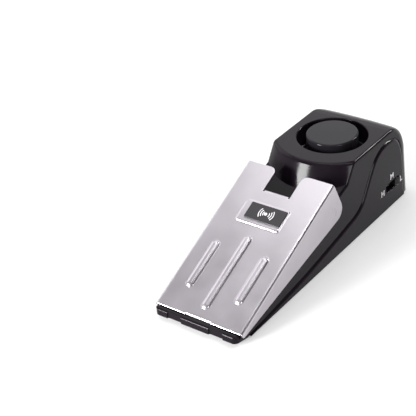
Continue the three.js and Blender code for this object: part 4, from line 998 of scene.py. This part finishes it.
def tip_cutters(side):
    """Cutters for the recess beside the tongue and for the round corner of the tip, on one side."""
    recess = [(side * x, from_tip(y)) for x, y in TIP_RECESS][::side]
    edge = side * (BODY_HALF + 2)
    centre = (side * (BODY_HALF - TIP_CORNER), from_tip(TIP_CORNER))
    start = -QUARTER if side > 0 else 2 * QUARTER
    outside = [(edge, centre[1]), (edge, from_tip(-2)), (centre[0], from_tip(-2))]
    corner = arc(centre, TIP_CORNER, start, start + QUARTER, 10) + outside[::side]
    return [
        prism("recess", recess, [(-2, 0), (TIP_TOP + 2, 0)], along_z),
        prism("corner", corner, [(-2, 0), (DECK, 0)], along_z),
    ]


def make_housing():
    shell = combine(outer_body(), "UNION", turret(0, EDGE, TURRET_CORNER))
    fittings = housing_fittings(shell)
    combine(shell, "DIFFERENCE", *panel_grooves())
    combine(shell, "UNION", *side_panels())
    combine(shell, "DIFFERENCE", hollow_body(), turret(WALL, 0, 0.5))
    combine(shell, "UNION", fittings)
    cutters = [
        well_cutter(),
        post("hole", (0, from_tip(SIREN_CENTRE)), SOUND_HOLE, WELL_FLOOR - 4, WELL_FLOOR + 1, 32),
        post("hole", (0, from_tip(SPRING_PLACE)), SPRING_WELL, SPRING_WELL_LOW, DECK, 64),
        *plate_slots(), *switch_windows(), *tip_cutters(-1), *tip_cutters(1),
    ]
    for x, place in BOSS_PLACES:
        cutters.append(post("pilot", (x, from_tip(place)), BOSS_PILOT, 0, BOSS_PILOT_TOP, 16))
    for place in EAR_PLACES:
        cutters.append(post("pilot", (0, from_tip(place)), EAR_PILOT, CHAMBER_TOP, EAR_PILOT_TOP, 16))
    return smooth(combine(shell, "DIFFERENCE", *cutters))


HOUSING = wear(make_housing(), "housing", "gloss_black", "housing_shell")


# Siren cap


def make_siren_cap():
    """The round cap, turned with its rim at height 0, with sound windows cut up from the rim."""
    inner, low = CAP_RADIUS - CAP_WALL, WELL_FLOOR + FIT
    top = CAP_TOP - low
    edge, fillet, chamfer = 0.85, 0.5, 0.2
    cap = lathe("siren_cap_top", [
        (0, top), (0, top - CAP_WALL),
        *arc((inner - fillet, top - CAP_WALL - fillet), fillet, QUARTER, 0, 3),
        (inner, 0), (CAP_RADIUS - chamfer, 0), (CAP_RADIUS, chamfer),
        *arc((CAP_RADIUS - edge, top - edge), edge, 0, QUARTER, 7),
    ], (0, 0), 128)
    follow(cap, WINDOWS, CAP_BLACK, {
        "Window count": 6, "Ring radius": CAP_RADIUS - CAP_WALL / 2, "Width": 5, "Height": 6,
        "Depth": 4,
    })
    cap.data.transform(Matrix.Translation((0, from_tip(SIREN_CENTRE) * MM, low * MM)))
    return smooth(cap)


wear(make_siren_cap(), "housing", "gloss_black", "siren_cap", finish=CAP_BLACK)


# Strike plate

FLANGE_FRONT = 3.2
FLANGE_REAR = 18.4
NOSE = 1.5
CORNER = 5
MOUTH = 3
MOUTH_REACH = 13
RELIEF_CUT = 1.3
BEADS = [(0, 4.9, 44), (-12.8, 12, 37.1), (12.8, 12, 37.1)]
BEAD_RADIUS = 2.15
BEAD_HEIGHT = 1
BEAD_FORM = (2.6, 0.9)
SEAT = (11.6, 49, 61.5)
SEAT_CORNER = 1.4
SEAT_SLOPE = 1.1
SEAT_HEIGHT = 0.5
ROLL_LENGTH = 0.64
ROLL_RADIUS = 0.9
TAB_DROP = 12.1
TAB_FOOT = 4
TONGUE_DROP = 3.7
TONGUE_REACH = 1.9


def flange_depth(along):
    """How far a flange reaches below the plate's top face: a round nose, a straight run, a round corner."""
    slope = math.atan2(FLANGE_REAR - FLANGE_FRONT, PLATE_LENGTH)
    nose = NOSE * (1 - math.sin(slope))
    if along < nose:
        return FLANGE_FRONT - NOSE + math.sqrt(max(0.0, NOSE ** 2 - (NOSE - along) ** 2))
    middle = PLATE_LENGTH - CORNER
    corner = middle - CORNER * math.sin(slope)
    if along > corner:
        return FLANGE_REAR - CORNER + math.sqrt(max(0.0, CORNER ** 2 - (along - middle) ** 2))
    low = FLANGE_FRONT - NOSE + NOSE * math.cos(slope)
    high = FLANGE_REAR - CORNER + CORNER * math.cos(slope)
    straight = low + (high - low) * (along - nose) / (corner - nose)
    return min(FLANGE_FRONT + along * math.tan(slope) + 1, straight)


def pressed_height(x, along):
    """How far the beads and the badge's seat rise over the flat sheet, and the front edge rolls down."""
    height = 0.0
    if along < ROLL_LENGTH:
        height = math.sqrt(ROLL_RADIUS ** 2 - (ROLL_LENGTH - along) ** 2) - ROLL_RADIUS
    for middle, start, end in BEADS:
        nearest = min(max(along, start + BEAD_RADIUS), end - BEAD_RADIUS)
        away = math.hypot(x - middle, along - nearest) / BEAD_RADIUS
        if away < 1:
            height = max(height, BEAD_HEIGHT * (1 - away ** BEAD_FORM[0]) ** BEAD_FORM[1])
    half, start, end = SEAT
    dx = max(0.0, abs(x) - (half - SEAT_CORNER))
    dy = max(0.0, start + SEAT_CORNER - along, along - (end - SEAT_CORNER))
    inside = SEAT_CORNER - math.hypot(dx, dy)
    if inside > 0:
        share = min(1.0, inside / SEAT_SLOPE)
        height = SEAT_HEIGHT * share * share * (3 - 2 * share)
    return height


def graded(spans):
    """Rising places from (end, step) spans, starting at 0."""
    places, here = [0.0], 0.0
    for end, step in spans:
        count = max(1, round((end - here) / step))
        places += [here + (end - here) * (i + 1) / count for i in range(count)]
        here = end
    return places


# Rows and columns of the sheet's mesh, close together where it bends
FLAT_HALF = PLATE_HALF - FOLD
across_half = graded([
    (2.4, 0.2), (TAB_HALF, 0.75), (TONGUE_HALF, 0.4), (NOTCH_HALF, 0.4), (10.1, 0.75), (10.5, 0.2),
    (15.2, 0.2), (FLAT_HALF, 1.3),
])
ACROSS = [-x for x in reversed(across_half[1:])] + across_half
ALONG = graded([
    (ROLL_LENGTH, 0.11), (FOLD, 0.2), (4.7, 0.8), (7.4, 0.22), (11.8, 0.9), (14.5, 0.22),
    (34.6, 1.2), (37.3, 0.22), (41.5, 0.9), (44.2, 0.22), (48.8, 0.9), (50.6, 0.2), (59.9, 0.9),
    (61.7, 0.2), (NOTCH_FLOOR - RELIEF_CUT, 0.9), (NOTCH_FLOOR - FOLD, 0.1), (NOTCH_FLOOR, 0.4),
    (PLATE_LENGTH - MOUTH, 0.9), (PLATE_LENGTH, 0.3),
])


def strike_sheet():
    """The plate's outer face as one open sheet: flat, folds, flanges, tab and tongue."""
    points, faces, index = [], [], {}

    def vertex(key, place):
        if key not in index:
            index[key] = len(points)
            points.append(on_plate(*place))
        return index[key]

    def side_columns(side):
        """The columns round one side's fold and down its flange."""
        fold = [("fold", side, QUARTER * i / 7) for i in range(1, 8)]
        return fold + [("flange", side, k / 4) for k in range(1, 5)]

    order = side_columns(-1)[::-1] + [("flat", 0, x) for x in ACROSS] + side_columns(1)

    def column_place(column, along):
        kind, side, value = column
        if kind == "flat":
            x = value
            away = along - (PLATE_LENGTH - MOUTH)
            if away > 0 and NOTCH_HALF - 0.01 < abs(x) < MOUTH_REACH:
                edge = NOTCH_HALF + MOUTH - math.sqrt(max(0.0, MOUTH ** 2 - away ** 2))
                share = (abs(x) - NOTCH_HALF) / (MOUTH_REACH - NOTCH_HALF)
                x = math.copysign(edge + share * (MOUTH_REACH - edge), x)
            return x, along, pressed_height(x, along)
        if kind == "fold":
            up = (FOLD + pressed_height(FLAT_HALF, along)) * math.cos(value) - FOLD
            return side * (FLAT_HALF + FOLD * math.sin(value)), along, up
        return side * PLATE_HALF, along, -FOLD - value * (flange_depth(along) - FOLD)

    def cut_out(one, two, along):
        """Whether the notch, its relief cuts or the tongue's fold take the place of a face."""
        if not one[0] == two[0] == "flat":
            return False
        x = abs(one[2] + two[2]) / 2
        notch = NOTCH_FLOOR - (RELIEF_CUT if x > TAB_HALF else FOLD)
        return (x < NOTCH_HALF and along > notch) or (x < TONGUE_HALF and along < FOLD)

    for j in range(len(ALONG) - 1):
        for i in range(len(order) - 1):
            if cut_out(order[i], order[i + 1], (ALONG[j] + ALONG[j + 1]) / 2):
                continue
            corners = [(i, j), (i + 1, j), (i + 1, j + 1), (i, j + 1)]
            faces.append([
                vertex(("grid", a, b), column_place(order[a], ALONG[b])) for a, b in corners
            ])

    def strip(name, half, row, path):
        """Faces that go on from one row of the flat sheet down a path of (along, up)."""
        span = [i for i, column in enumerate(order) if column[0] == "flat" and abs(column[2]) < half + 0.01]
        for k in range(len(path)):
            for i in span[:-1]:
                quad = []
                for a, b in ((i, k), (i + 1, k), (i + 1, k + 1), (i, k + 1)):
                    if b == 0:
                        place = column_place(order[a], ALONG[row])
                        quad.append(vertex(("grid", a, row), place))
                    else:
                        quad.append(vertex((name, a, b), (order[a][2], *path[b - 1])))
                faces.append(quad)

    def fold_path(edge, away, low, foot, turn, bend):
        """Down over a fold at the edge, round a second bend at the height low, and out to the foot."""
        centre, middle = edge - away * FOLD, edge + turn * bend
        path = []
        for i in range(1, 7):
            angle = QUARTER * i / 6
            path.append((centre + away * FOLD * math.sin(angle), -FOLD + FOLD * math.cos(angle)))
        for i in range(5):
            angle = QUARTER * i / 4
            path.append((middle - turn * bend * math.cos(angle), -low + bend - bend * math.sin(angle)))
        path.append((foot, -low))
        return path

    def row_at(place):
        return next(row for row, along in enumerate(ALONG) if abs(along - place) < 0.001)

    tab = fold_path(NOTCH_FLOOR, 1, TAB_DROP, NOTCH_FLOOR - TAB_FOOT, -1, 1.0)
    tongue = fold_path(0, -1, TONGUE_DROP - SHEET, -TONGUE_REACH, -1, 0.25)
    strip("tab", TAB_HALF, row_at(NOTCH_FLOOR - FOLD), tab)
    strip("tongue", TONGUE_HALF, row_at(FOLD), tongue)
    return solid("steel_strike_plate", points, faces, 0.0001)


def make_strike_plate():
    """The sheet made as thick as the steel, inwards from its outer face, with soft edges."""
    plate = strike_sheet()
    thickness = plate.modifiers.new("thickness", "SOLIDIFY")
    thickness.thickness, thickness.offset = SHEET * MM, -1
    thickness.use_even_offset = True
    thickness.use_quality_normals = True
    applied(plate)
    return smooth(bevelled(plate, 0.22, 60, 3))


wear(make_strike_plate(), "plate", "stainless", "strike_plate")


# Base, feet and door


def make_grip_pad():
    """Rubber pad under the ramp, with a row of pressed grooves across it."""
    low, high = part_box("grip_pad")
    across, along = (low.x / MM, high.x / MM), (low.y / MM, high.y / MM)
    thick = high.z / MM
    outline = rectangle(*across, *along, 3, 8)
    pad = prism("rubber_grip_pad", outline, rounded_levels(0, thick, 0.25, 3), along_z)
    count, pitch = 7, 4.2
    grooves = follow(points_only("grooves", [(0, 0, 0)]), ROW, FINISHES["rubber"], {
        "Bar count": count, "Row step": (0, pitch, 0), "Length": across[1] - across[0] + 4,
        "Width": 1, "Height": 0.9, "Rounding": 0.3,
    })
    middle = (along[0] + along[1]) / 2
    grooves.data.transform(Matrix.Translation((0, (middle - pitch * (count - 1) / 2) * MM, 0)))
    return smooth(combine(pad, "DIFFERENCE", grooves))


wear(make_grip_pad(), "housing", "rubber", "grip_pad")


def make_foot(node):
    """A round rubber foot, a little hollow below, with a rounded edge."""
    low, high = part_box(node)
    radius, thick = (high.x - low.x) / 2 / MM, high.z / MM
    centre = ((low.x + high.x) / 2 / MM, (low.y + high.y) / 2 / MM)
    hollow, edge, chamfer = 0.12, 0.5, 0.1
    return smooth(lathe(node.replace("rear", "rubber"), [
        (0, hollow), (radius * 0.5, hollow / 3), *arc((radius - edge, edge), edge, -QUARTER, 0, 5),
        (radius, thick - chamfer), (radius - chamfer, thick), (0, thick),
    ], centre, 64))


for foot in ("rear_foot_left", "rear_foot_right"):
    wear(make_foot(foot), "housing", "rubber", foot)

wear(from_solid("base_cover", "moulded_base_cover", 0.2), "housing", "matte_black", "base_cover")
wear(from_solid("battery_door", "battery_cover", 0.22), "battery_door", "matte_black", "battery_door")


# Screws


def make_screws(name, nodes, head_down, thread_pitch):
    """The screws of one kind: the nodes give their places and lengths."""
    boxes = [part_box(node) for node in nodes]
    low, high = boxes[0]
    places = [
        ((a.x + b.x) / 2 / MM, (a.y + b.y) / 2 / MM, (a if head_down else b).z / MM) for a, b in boxes
    ]
    screws = follow(points_only(name, places), SCREWS, FINISHES["zinc"], {
        "Head radius": (high.x - low.x) / 2 / MM, "Head height": 1.05, "Shank radius": 1,
        "Length": (high.z - low.z) / MM, "Thread pitch": thread_pitch,
        "Turn": math.pi if head_down else 0,
    })
    wear(smooth(screws, 40), "housing", "zinc", *nodes)


make_screws("base_cover_screws", [f"base_screw_{i}" for i in (1, 2, 3, 4)], True, 0.8)
make_screws("siren_chamber_screws", ["chamber_screw_1", "chamber_screw_2"], True, 0.7)
make_screws("circuit_board_screws", ["board_screw_1", "board_screw_2"], False, 0.7)


# Switch knobs


def make_knob(node, name, facing):
    """A slide knob with three pressed grooves across its proud face."""
    knob = from_solid(node, name, 0.22)
    low, high = (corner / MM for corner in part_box(node))
    pitch = 0.85
    grooves = follow(points_only("grooves", [(0, 0, 0)]), ROW, FINISHES["matte_black"], {
        "Bar count": 3, "Row step": (0, pitch, 0), "Length": 9, "Width": 0.4, "Height": 0.5,
        "Rounding": 0.12,
    })
    middle = (low + high) / 2
    if facing == "rear":
        turn = Matrix(((0, 1, 0), (0, 0, 1), (1, 0, 0)))
        start = Vector((middle.x - pitch, high.y, middle.z))
    else:
        turn = Matrix(((0, 0, 1), (0, 1, 0), (1, 0, 0)))
        start = Vector((high.x, middle.y - pitch, middle.z))
    grooves.data.transform(Matrix.Translation(start * MM) @ turn.to_4x4())
    return smooth(combine(knob, "DIFFERENCE", grooves))


KNOBS = (("power_knob", "power_slide_knob", "rear"), ("sensitivity_knob", "sensitivity_slide_knob", "side"))
for knob, name, facing in KNOBS:
    wear(make_knob(knob, name, facing), knob, "matte_black", knob, finish=KNOB_BLACK)


# Lettering and the badge

LETTER_HEIGHT = 2.9
CAPITAL_SHARE = 0.7
BOLDER = 0.022
INK_PROUD = 0.05
MARK_LEVELS = (-0.05, 0.04)
RAY_START = 20 * MM
BADGE_MIDDLE = (1.6, 55.85)
BADGE_HALF = (9.25, 4.15)


def letters(name, word, height):
    """A word as a closed thin mesh, its letters standing along x and y."""
    curve = bpy.data.curves.new(name, "FONT")
    curve.body = word
    curve.align_x = curve.align_y = "CENTER"
    curve.size = height / CAPITAL_SHARE * MM
    curve.extrude = 0.06 * MM
    curve.offset = BOLDER * height * MM
    curve.resolution_u = 3
    text = link(name, curve)
    mesh = bpy.data.meshes.new_from_object(text.evaluated_get(bpy.context.evaluated_depsgraph_get()))
    bpy.data.objects.remove(text)
    return link(name, mesh)


def print_on(name, word, place, facing):
    """Lays a printed word on the housing, a little proud of it, as ink on plastic."""
    piece = letters(name, word, LETTER_HEIGHT)
    if facing == "rear":
        turn = Matrix(((-1, 0, 0), (0, 0, 1), (0, 1, 0)))
    else:
        turn = Matrix(((0, 0, 1), (1, 0, 0), (0, 1, 0)))
    ray = turn @ Vector((0, 0, -1))
    for vertex in piece.data.vertices:
        raised = INK_PROUD if vertex.co.z > 0 else -INK_PROUD
        flat = turn @ Vector((vertex.co.x, vertex.co.y, 0)) + Vector(place) * MM
        hit, where, _, _ = HOUSING.ray_cast(flat - ray * RAY_START, ray)
        vertex.co = (where if hit else flat) - ray * raised * MM
    piece.data.update()
    wear(piece, "housing", "button_grey", finish=INK)


def pictogram():
    """A sounding alarm: a dot with three arcs on each side of it."""
    strips = []
    first, pitch, half_line, dot, half = 1.55, 1.05, 0.19, 0.75, math.radians(38)
    for side in (-1, 1):
        centre = (side * 0.3, 0)
        for radius in (first, first + pitch, first + 2 * pitch):
            outer = arc(centre, radius + half_line, -half, half, 12)
            inner = arc(centre, radius - half_line, half, -half, 12)
            strips.append([(side * x, y) for x, y in outer + inner][::side])
    strips.append(arc((0, 0), dot, 0, 2 * math.pi * 23 / 24, 23))
    return strips


def plate_up(point):
    """How far a point in metres lies over the plate's flat sheet, in millimetres."""
    y, z = point.y / MM - from_tip(PLATE_FRONT[0]), point.z / MM - PLATE_FRONT[1]
    return z * math.cos(PLATE_ANGLE) - y * math.sin(PLATE_ANGLE)


def make_badge():
    """The badge's panel, as thick as its solid and let into the plate, with the marks printed on it."""
    corners = [vertex.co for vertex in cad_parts["badge"].data.vertices]
    low, high = min(map(plate_up, corners)), max(map(plate_up, corners))
    across = (BADGE_MIDDLE[0] - BADGE_HALF[0], BADGE_MIDDLE[0] + BADGE_HALF[0])
    along = (BADGE_MIDDLE[1] - BADGE_HALF[1], BADGE_MIDDLE[1] + BADGE_HALF[1])
    levels = rounded_levels(low - FIT + 0.02, high, 0.12, 3)
    badge = prism("badge_panel", rectangle(*across, *along, 0.35), levels, on_plate)
    wear(smooth(badge), "plate", "gloss_black", "badge", finish=BADGE_BLACK)
    for i, outline in enumerate(pictogram()):
        moved = [(x + BADGE_MIDDLE[0], y + BADGE_MIDDLE[1]) for x, y in outline]
        mark = prism(f"badge_mark_{i + 1}", moved, [(high + up, 0) for up in MARK_LEVELS], on_plate)
        wear(mark, "plate", "button_grey", finish=INK)


make_badge()
print_on("word_on", "ON", (7.5, from_tip(BODY_LENGTH), 13.9), "rear")
print_on("word_off", "OFF", (-10.3, from_tip(BODY_LENGTH), 13.9), "rear")
for letter, place, height in (("H", 117.3, 11), ("M", 125.8, 16.3), ("L", 134.1, 10.9)):
    print_on("letter_" + letter, letter, (PANEL_OUT, from_tip(place), height), "side")


# Spring and its cap

SPRING_WIRE = 0.3
SPRING_TURNS = 6
CLOSED_TURNS = 0.9
CLOSED_RISE = 2 * SPRING_WIRE / 1.05


def make_spring():
    """Compression spring with its end turns closed."""
    low, high = (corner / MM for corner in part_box("return_spring"))
    centre, radius = from_tip(SPRING_PLACE), (high.x - low.x) / 2 - SPRING_WIRE
    open_rise = high.z - low.z - 2 * SPRING_WIRE - 2 * CLOSED_RISE
    points = []
    for i in range(SPRING_TURNS * 16 + 1):
        turn = i / 16
        angle = 2 * math.pi * turn
        opened = min(1, max(0, (turn - CLOSED_TURNS) / (SPRING_TURNS - 2 * CLOSED_TURNS)))
        closed = min(turn, CLOSED_TURNS) + max(0, turn - SPRING_TURNS + CLOSED_TURNS)
        rise = CLOSED_RISE * closed / CLOSED_TURNS + open_rise * opened
        points.append((
            radius * math.cos(angle), centre + radius * math.sin(angle), low.z + SPRING_WIRE + rise,
        ))
    route = points_only("return_coil_spring", points, True)
    spring = smooth(follow(route, WIRE, SPRING_STEEL, {"Radius": SPRING_WIRE, "Spacing": 0.5}), 60)
    wear(spring, "housing", "zinc", "return_spring", finish=SPRING_STEEL)
    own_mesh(spring)


make_spring()


def make_spring_cap():
    """The cap over the spring: a sleeve with a thick top and a round edge."""
    low, high = (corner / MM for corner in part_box("spring_cap"))
    radius, top, wall, edge = high.x, high.z, 0.8, 1.1
    dome = arc((radius - edge, top - edge), edge, 0, QUARTER, 6)
    seat = low.z + 6
    return smooth(lathe("domed_spring_cap", [
        (0, top), (0, seat), (radius - wall, seat), (radius - wall, low.z),
        (radius, low.z), *dome,
    ], (0, from_tip(SPRING_PLACE)), 64))


wear(make_spring_cap(), "spring_cap", "matte_black", "spring_cap")


# Leads

LEAD_EDGE, LEAD_END, SNAP_TOP, DISC = 11.6, 9.3, 17.55, 24.65


def battery_route(x, place):
    """From a stud of the battery snap, over it and down to the edge of the board."""
    return [
        (x, place, SNAP_TOP), (x, place, SNAP_TOP + 1.2), (2.5, place, SNAP_TOP + 3),
        (9, place, SNAP_TOP + 0.6), (LEAD_EDGE, place, LEAD_END + 4.5), (LEAD_EDGE, place, LEAD_END),
    ]


ROUTES = {
    "battery_lead_red": battery_route(-3.225, 126.4),
    "battery_lead_black": battery_route(-1.225, 129.2),
    "siren_lead_red": [
        (6.5, 108.5, DISC - 1), (6.5, 108.5, DISC - 2), (8.2, 108.5, 21), (10.8, 108.7, 17.5),
        (LEAD_EDGE, 108.8, 13), (LEAD_EDGE, 108.8, LEAD_END),
    ],
    "siren_lead_black": [
        (9.4, 104.2, DISC - FIT), (9.4, 104.2, 22.6), (10.5, 104.6, 19.5), (LEAD_EDGE, 105.5, 14),
        (LEAD_EDGE, 105.5, LEAD_END),
    ],
    "trigger_lead_yellow": [
        (1.2, 68.2, 8.41), (1.2, 68.2, 7), (4.2, 68.4, 5.9), (10, 70.2, 6.2), (13.4, 75, 7.6),
        (13.8, 80, 10), (14, 85, 12), (14, 89.2, 12.4), (14, 90.6, 11), (14, 90.6, LEAD_END),
    ],
    "trigger_lead_blue": [
        (1.2, 70.8, 8.41), (1.2, 70.8, 7), (4.2, 70.9, 5.9), (8, 71.4, 5.9), (11.4, 73.8, 6.6),
        (12, 79, 9.2), (11.8, 84, 11.6), (LEAD_EDGE, 89, 12.2), (LEAD_EDGE, 90.6, 11),
        (LEAD_EDGE, 90.6, LEAD_END),
    ],
}

for node, route in ROUTES.items():
    colour = "lead_" + node.split("_")[-1]
    run = points_only(node + "_run", [(x, from_tip(place), z) for x, place, z in route], True)
    run = smooth(follow(run, WIRE, FINISHES[colour], {"Radius": 0.5, "Spacing": 0.7}), 60)
    wear(run, "housing", colour, node)


# Battery, its foam and the parts on the boards


def make_foam():
    """The soft strip that keeps the battery from rattling."""
    low, high = (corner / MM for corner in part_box("battery_foam"))
    outline = rectangle(low.x, high.x, low.z, high.z, 0.5, 5)
    foam = prism("battery_foam_pad", outline, rounded_levels(low.y, high.y, 0.3, 3), along_y)
    wear(smooth(foam), "housing", "foam", "battery_foam")


make_foam()

# Parts shown as their solids with rounded edges: node, name and width of the rounding
ROUNDED = [
    ("battery", "block_battery", 0.5), ("battery_snap", "snap_connector", 0.35),
    ("siren_chamber", "siren_sound_chamber", 0.25), ("main_board", "circuit_board", 0.08),
    ("controller_chip", "controller_package", 0.12), ("step_up_coil", "drum_coil", 0.3),
    ("vibration_sensor", "vibration_can", 0.3), ("smoothing_capacitor", "can_capacitor", 0.25),
    ("drive_transistor", "transistor_package", 0.12), ("power_switch", "power_switch_case", 0.2),
    ("sensitivity_switch", "sensitivity_switch_case", 0.2),
    ("trigger_board", "trigger_circuit_board", 0.08), ("trigger_switch", "push_switch_case", 0.15),
    ("piezo_disc", "piezo_brass_disc", 0.06), ("piezo_ceramic", "piezo_ceramic_disc", 0.06),
    ("resistor_1", "film_resistor_1", 0.2), ("resistor_2", "film_resistor_2", 0.2),
    ("resistor_3", "film_resistor_3", 0.2),
]
for node, name, width in ROUNDED:
    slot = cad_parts[node].data.materials[0].name.split(".")[0]
    wear(from_solid(node, name, width), "housing", slot, node)

BUTTON = from_solid("trigger_button", "push_switch_button", 0.15)
wear(BUTTON, "trigger_button", "button_grey", "trigger_button")


# Studio

FLOOR_LIFT = 0.27
CEILING = 0.5
CEILING_FADE = (0.12, 0.42)
DARK_SIDE = 0.15
DARK_SIDE_FADE = (0.2, 0.6)
LAMP_AIM = Vector((0, 0, 0.02))

# The lamps: name, place and size in metres, and watts
LAMPS = [
    ("overhead_softbox", (-0.12, 0.09, 0.45), (0.26, 0.3), 0.38),
    ("crest_strip", (0.09, 0.0, 0.5), (0.04, 0.4), 0.35),
    ("left_softbox", (-1.0, 0.1, 0.65), (0.7, 0.7), 2.2),
    ("rear_softbox", (-0.5, 0.68, 0.56), (0.7, 0.5), 1.25),
    ("shelf_light", (0.36, 0.8, 0.5), (0.1, 0.34), 5.2),
    ("front_strip", (-0.4, -0.88, 0.3), (0.3, 0.32), 18),
    ("edge_light", (0.86, -0.4, 0.32), (0.3, 0.42), 3.8),
]


def floor_finish():
    """Pale floor that keeps the alarm's shadow, near white to the camera and clear from below."""
    finish = Finish("pale_floor")
    finish.plain(Base_Color=(0.6, 0.6, 0.6, 1), Roughness=0.9, Specular_IOR_Level=0.1)
    path = finish.node("LightPath").outputs
    seen = finish.node("Math", {0: path["Is Camera Ray"], 1: path["Is Glossy Ray"]}, operation="MAXIMUM")
    seen = finish.node("Math", {
        0: seen.outputs[0], 1: path["Is Transmission Ray"],
    }, operation="MAXIMUM")
    lift = finish.node("Math", {0: seen.outputs[0], 1: FLOOR_LIFT}, operation="MULTIPLY")
    finish.plain(Emission_Color=(1, 1, 1, 1), Emission_Strength=lift.outputs[0])
    below = finish.node("NewGeometry").outputs["Backfacing"]
    mix = finish.node("MixShader", {"Fac": below})
    clear = finish.node("BsdfTransparent")
    finish.tree.links.new(finish.shader.outputs[0], mix.inputs[1])
    finish.tree.links.new(clear.outputs[0], mix.inputs[2])
    finish.tree.links.new(mix.outputs[0], finish.tree.nodes["Material Output"].inputs["Surface"])
    return finish.material


def make_floor():
    work = bmesh.new()
    bmesh.ops.create_grid(work, x_segments=1, y_segments=1, size=3)
    mesh = bpy.data.meshes.new("studio_floor")
    work.to_mesh(mesh)
    work.free()
    floor = link("studio_floor", mesh)
    floor.location.z = -0.05 * MM
    mesh.materials.append(floor_finish())


def make_walls():
    """White walls all round under a dimmer ceiling, darker to the right, as a background."""
    world = bpy.data.worlds.new("studio")
    scene.world = world
    world.use_nodes = True
    tree = world.node_tree
    nodes, links = tree.nodes, tree.links
    direction = nodes.new("ShaderNodeTexCoord").outputs["Generated"]
    split = nodes.new("ShaderNodeSeparateXYZ")
    links.new(direction, split.inputs["Vector"])

    def fade(axis, start, end, level):
        """A value that goes from 1 to a level as one axis of the direction goes from start to end."""
        step = nodes.new("ShaderNodeMapRange")
        step.interpolation_type = "SMOOTHSTEP"
        for socket, value in zip(("From Min", "From Max", "To Min", "To Max"), (start, end, 1, level)):
            step.inputs[socket].default_value = value
        links.new(split.outputs[axis], step.inputs["Value"])
        return step.outputs["Result"]

    strength = nodes.new("ShaderNodeMath")
    strength.operation = "MULTIPLY"
    links.new(fade("Z", *CEILING_FADE, CEILING), strength.inputs[0])
    links.new(fade("X", *DARK_SIDE_FADE, DARK_SIDE), strength.inputs[1])
    light = nodes["Background"]
    light.inputs["Color"].default_value = (1, 0.985, 1, 1)
    links.new(strength.outputs[0], light.inputs["Strength"])


def make_lamps():
    for name, place, size, watts in LAMPS:
        light = bpy.data.lights.new(name, "AREA")
        light.shape, light.size, light.size_y = "RECTANGLE", *size
        light.energy = watts
        holder = link(name, light)
        holder.location = place
        holder.rotation_euler = (LAMP_AIM - Vector(place)).to_track_quat("-Z", "Y").to_euler()


def make_camera():
    """The photograph's view of the right-hand alarm, from a fit of its corners. The shift is in mm."""
    camera = link("photo_camera", bpy.data.cameras.new("photo_camera"))
    camera.data.sensor_width = 36
    camera.data.lens = 111.06
    elevation, roll, yaw = math.radians(32.08), math.radians(-5.52), math.radians(-39.55)
    look = Matrix((
        (1, 0, 0),
        (0, -math.sin(elevation), -math.cos(elevation)),
        (0, math.cos(elevation), -math.sin(elevation)),
    ))
    turn = Matrix.Rotation(roll, 3, "Z") @ look @ Matrix.Rotation(yaw, 3, "Z")
    shift = Vector((-5.49, 52.13, 536.45))
    place = turn.transposed() @ -shift
    axes = Matrix((turn[0], -turn[1], -turn[2])).transposed()
    camera.matrix_world = Matrix.Translation(
        (place.x * MM, (place.y + TIP_Y) * MM, place.z * MM)
    ) @ axes.to_4x4()
    camera.data.clip_start, camera.data.clip_end = 0.01, 20
    scene.camera = camera


make_floor()
make_walls()
make_lamps()
make_camera()
scene.view_settings.view_transform = "Standard"
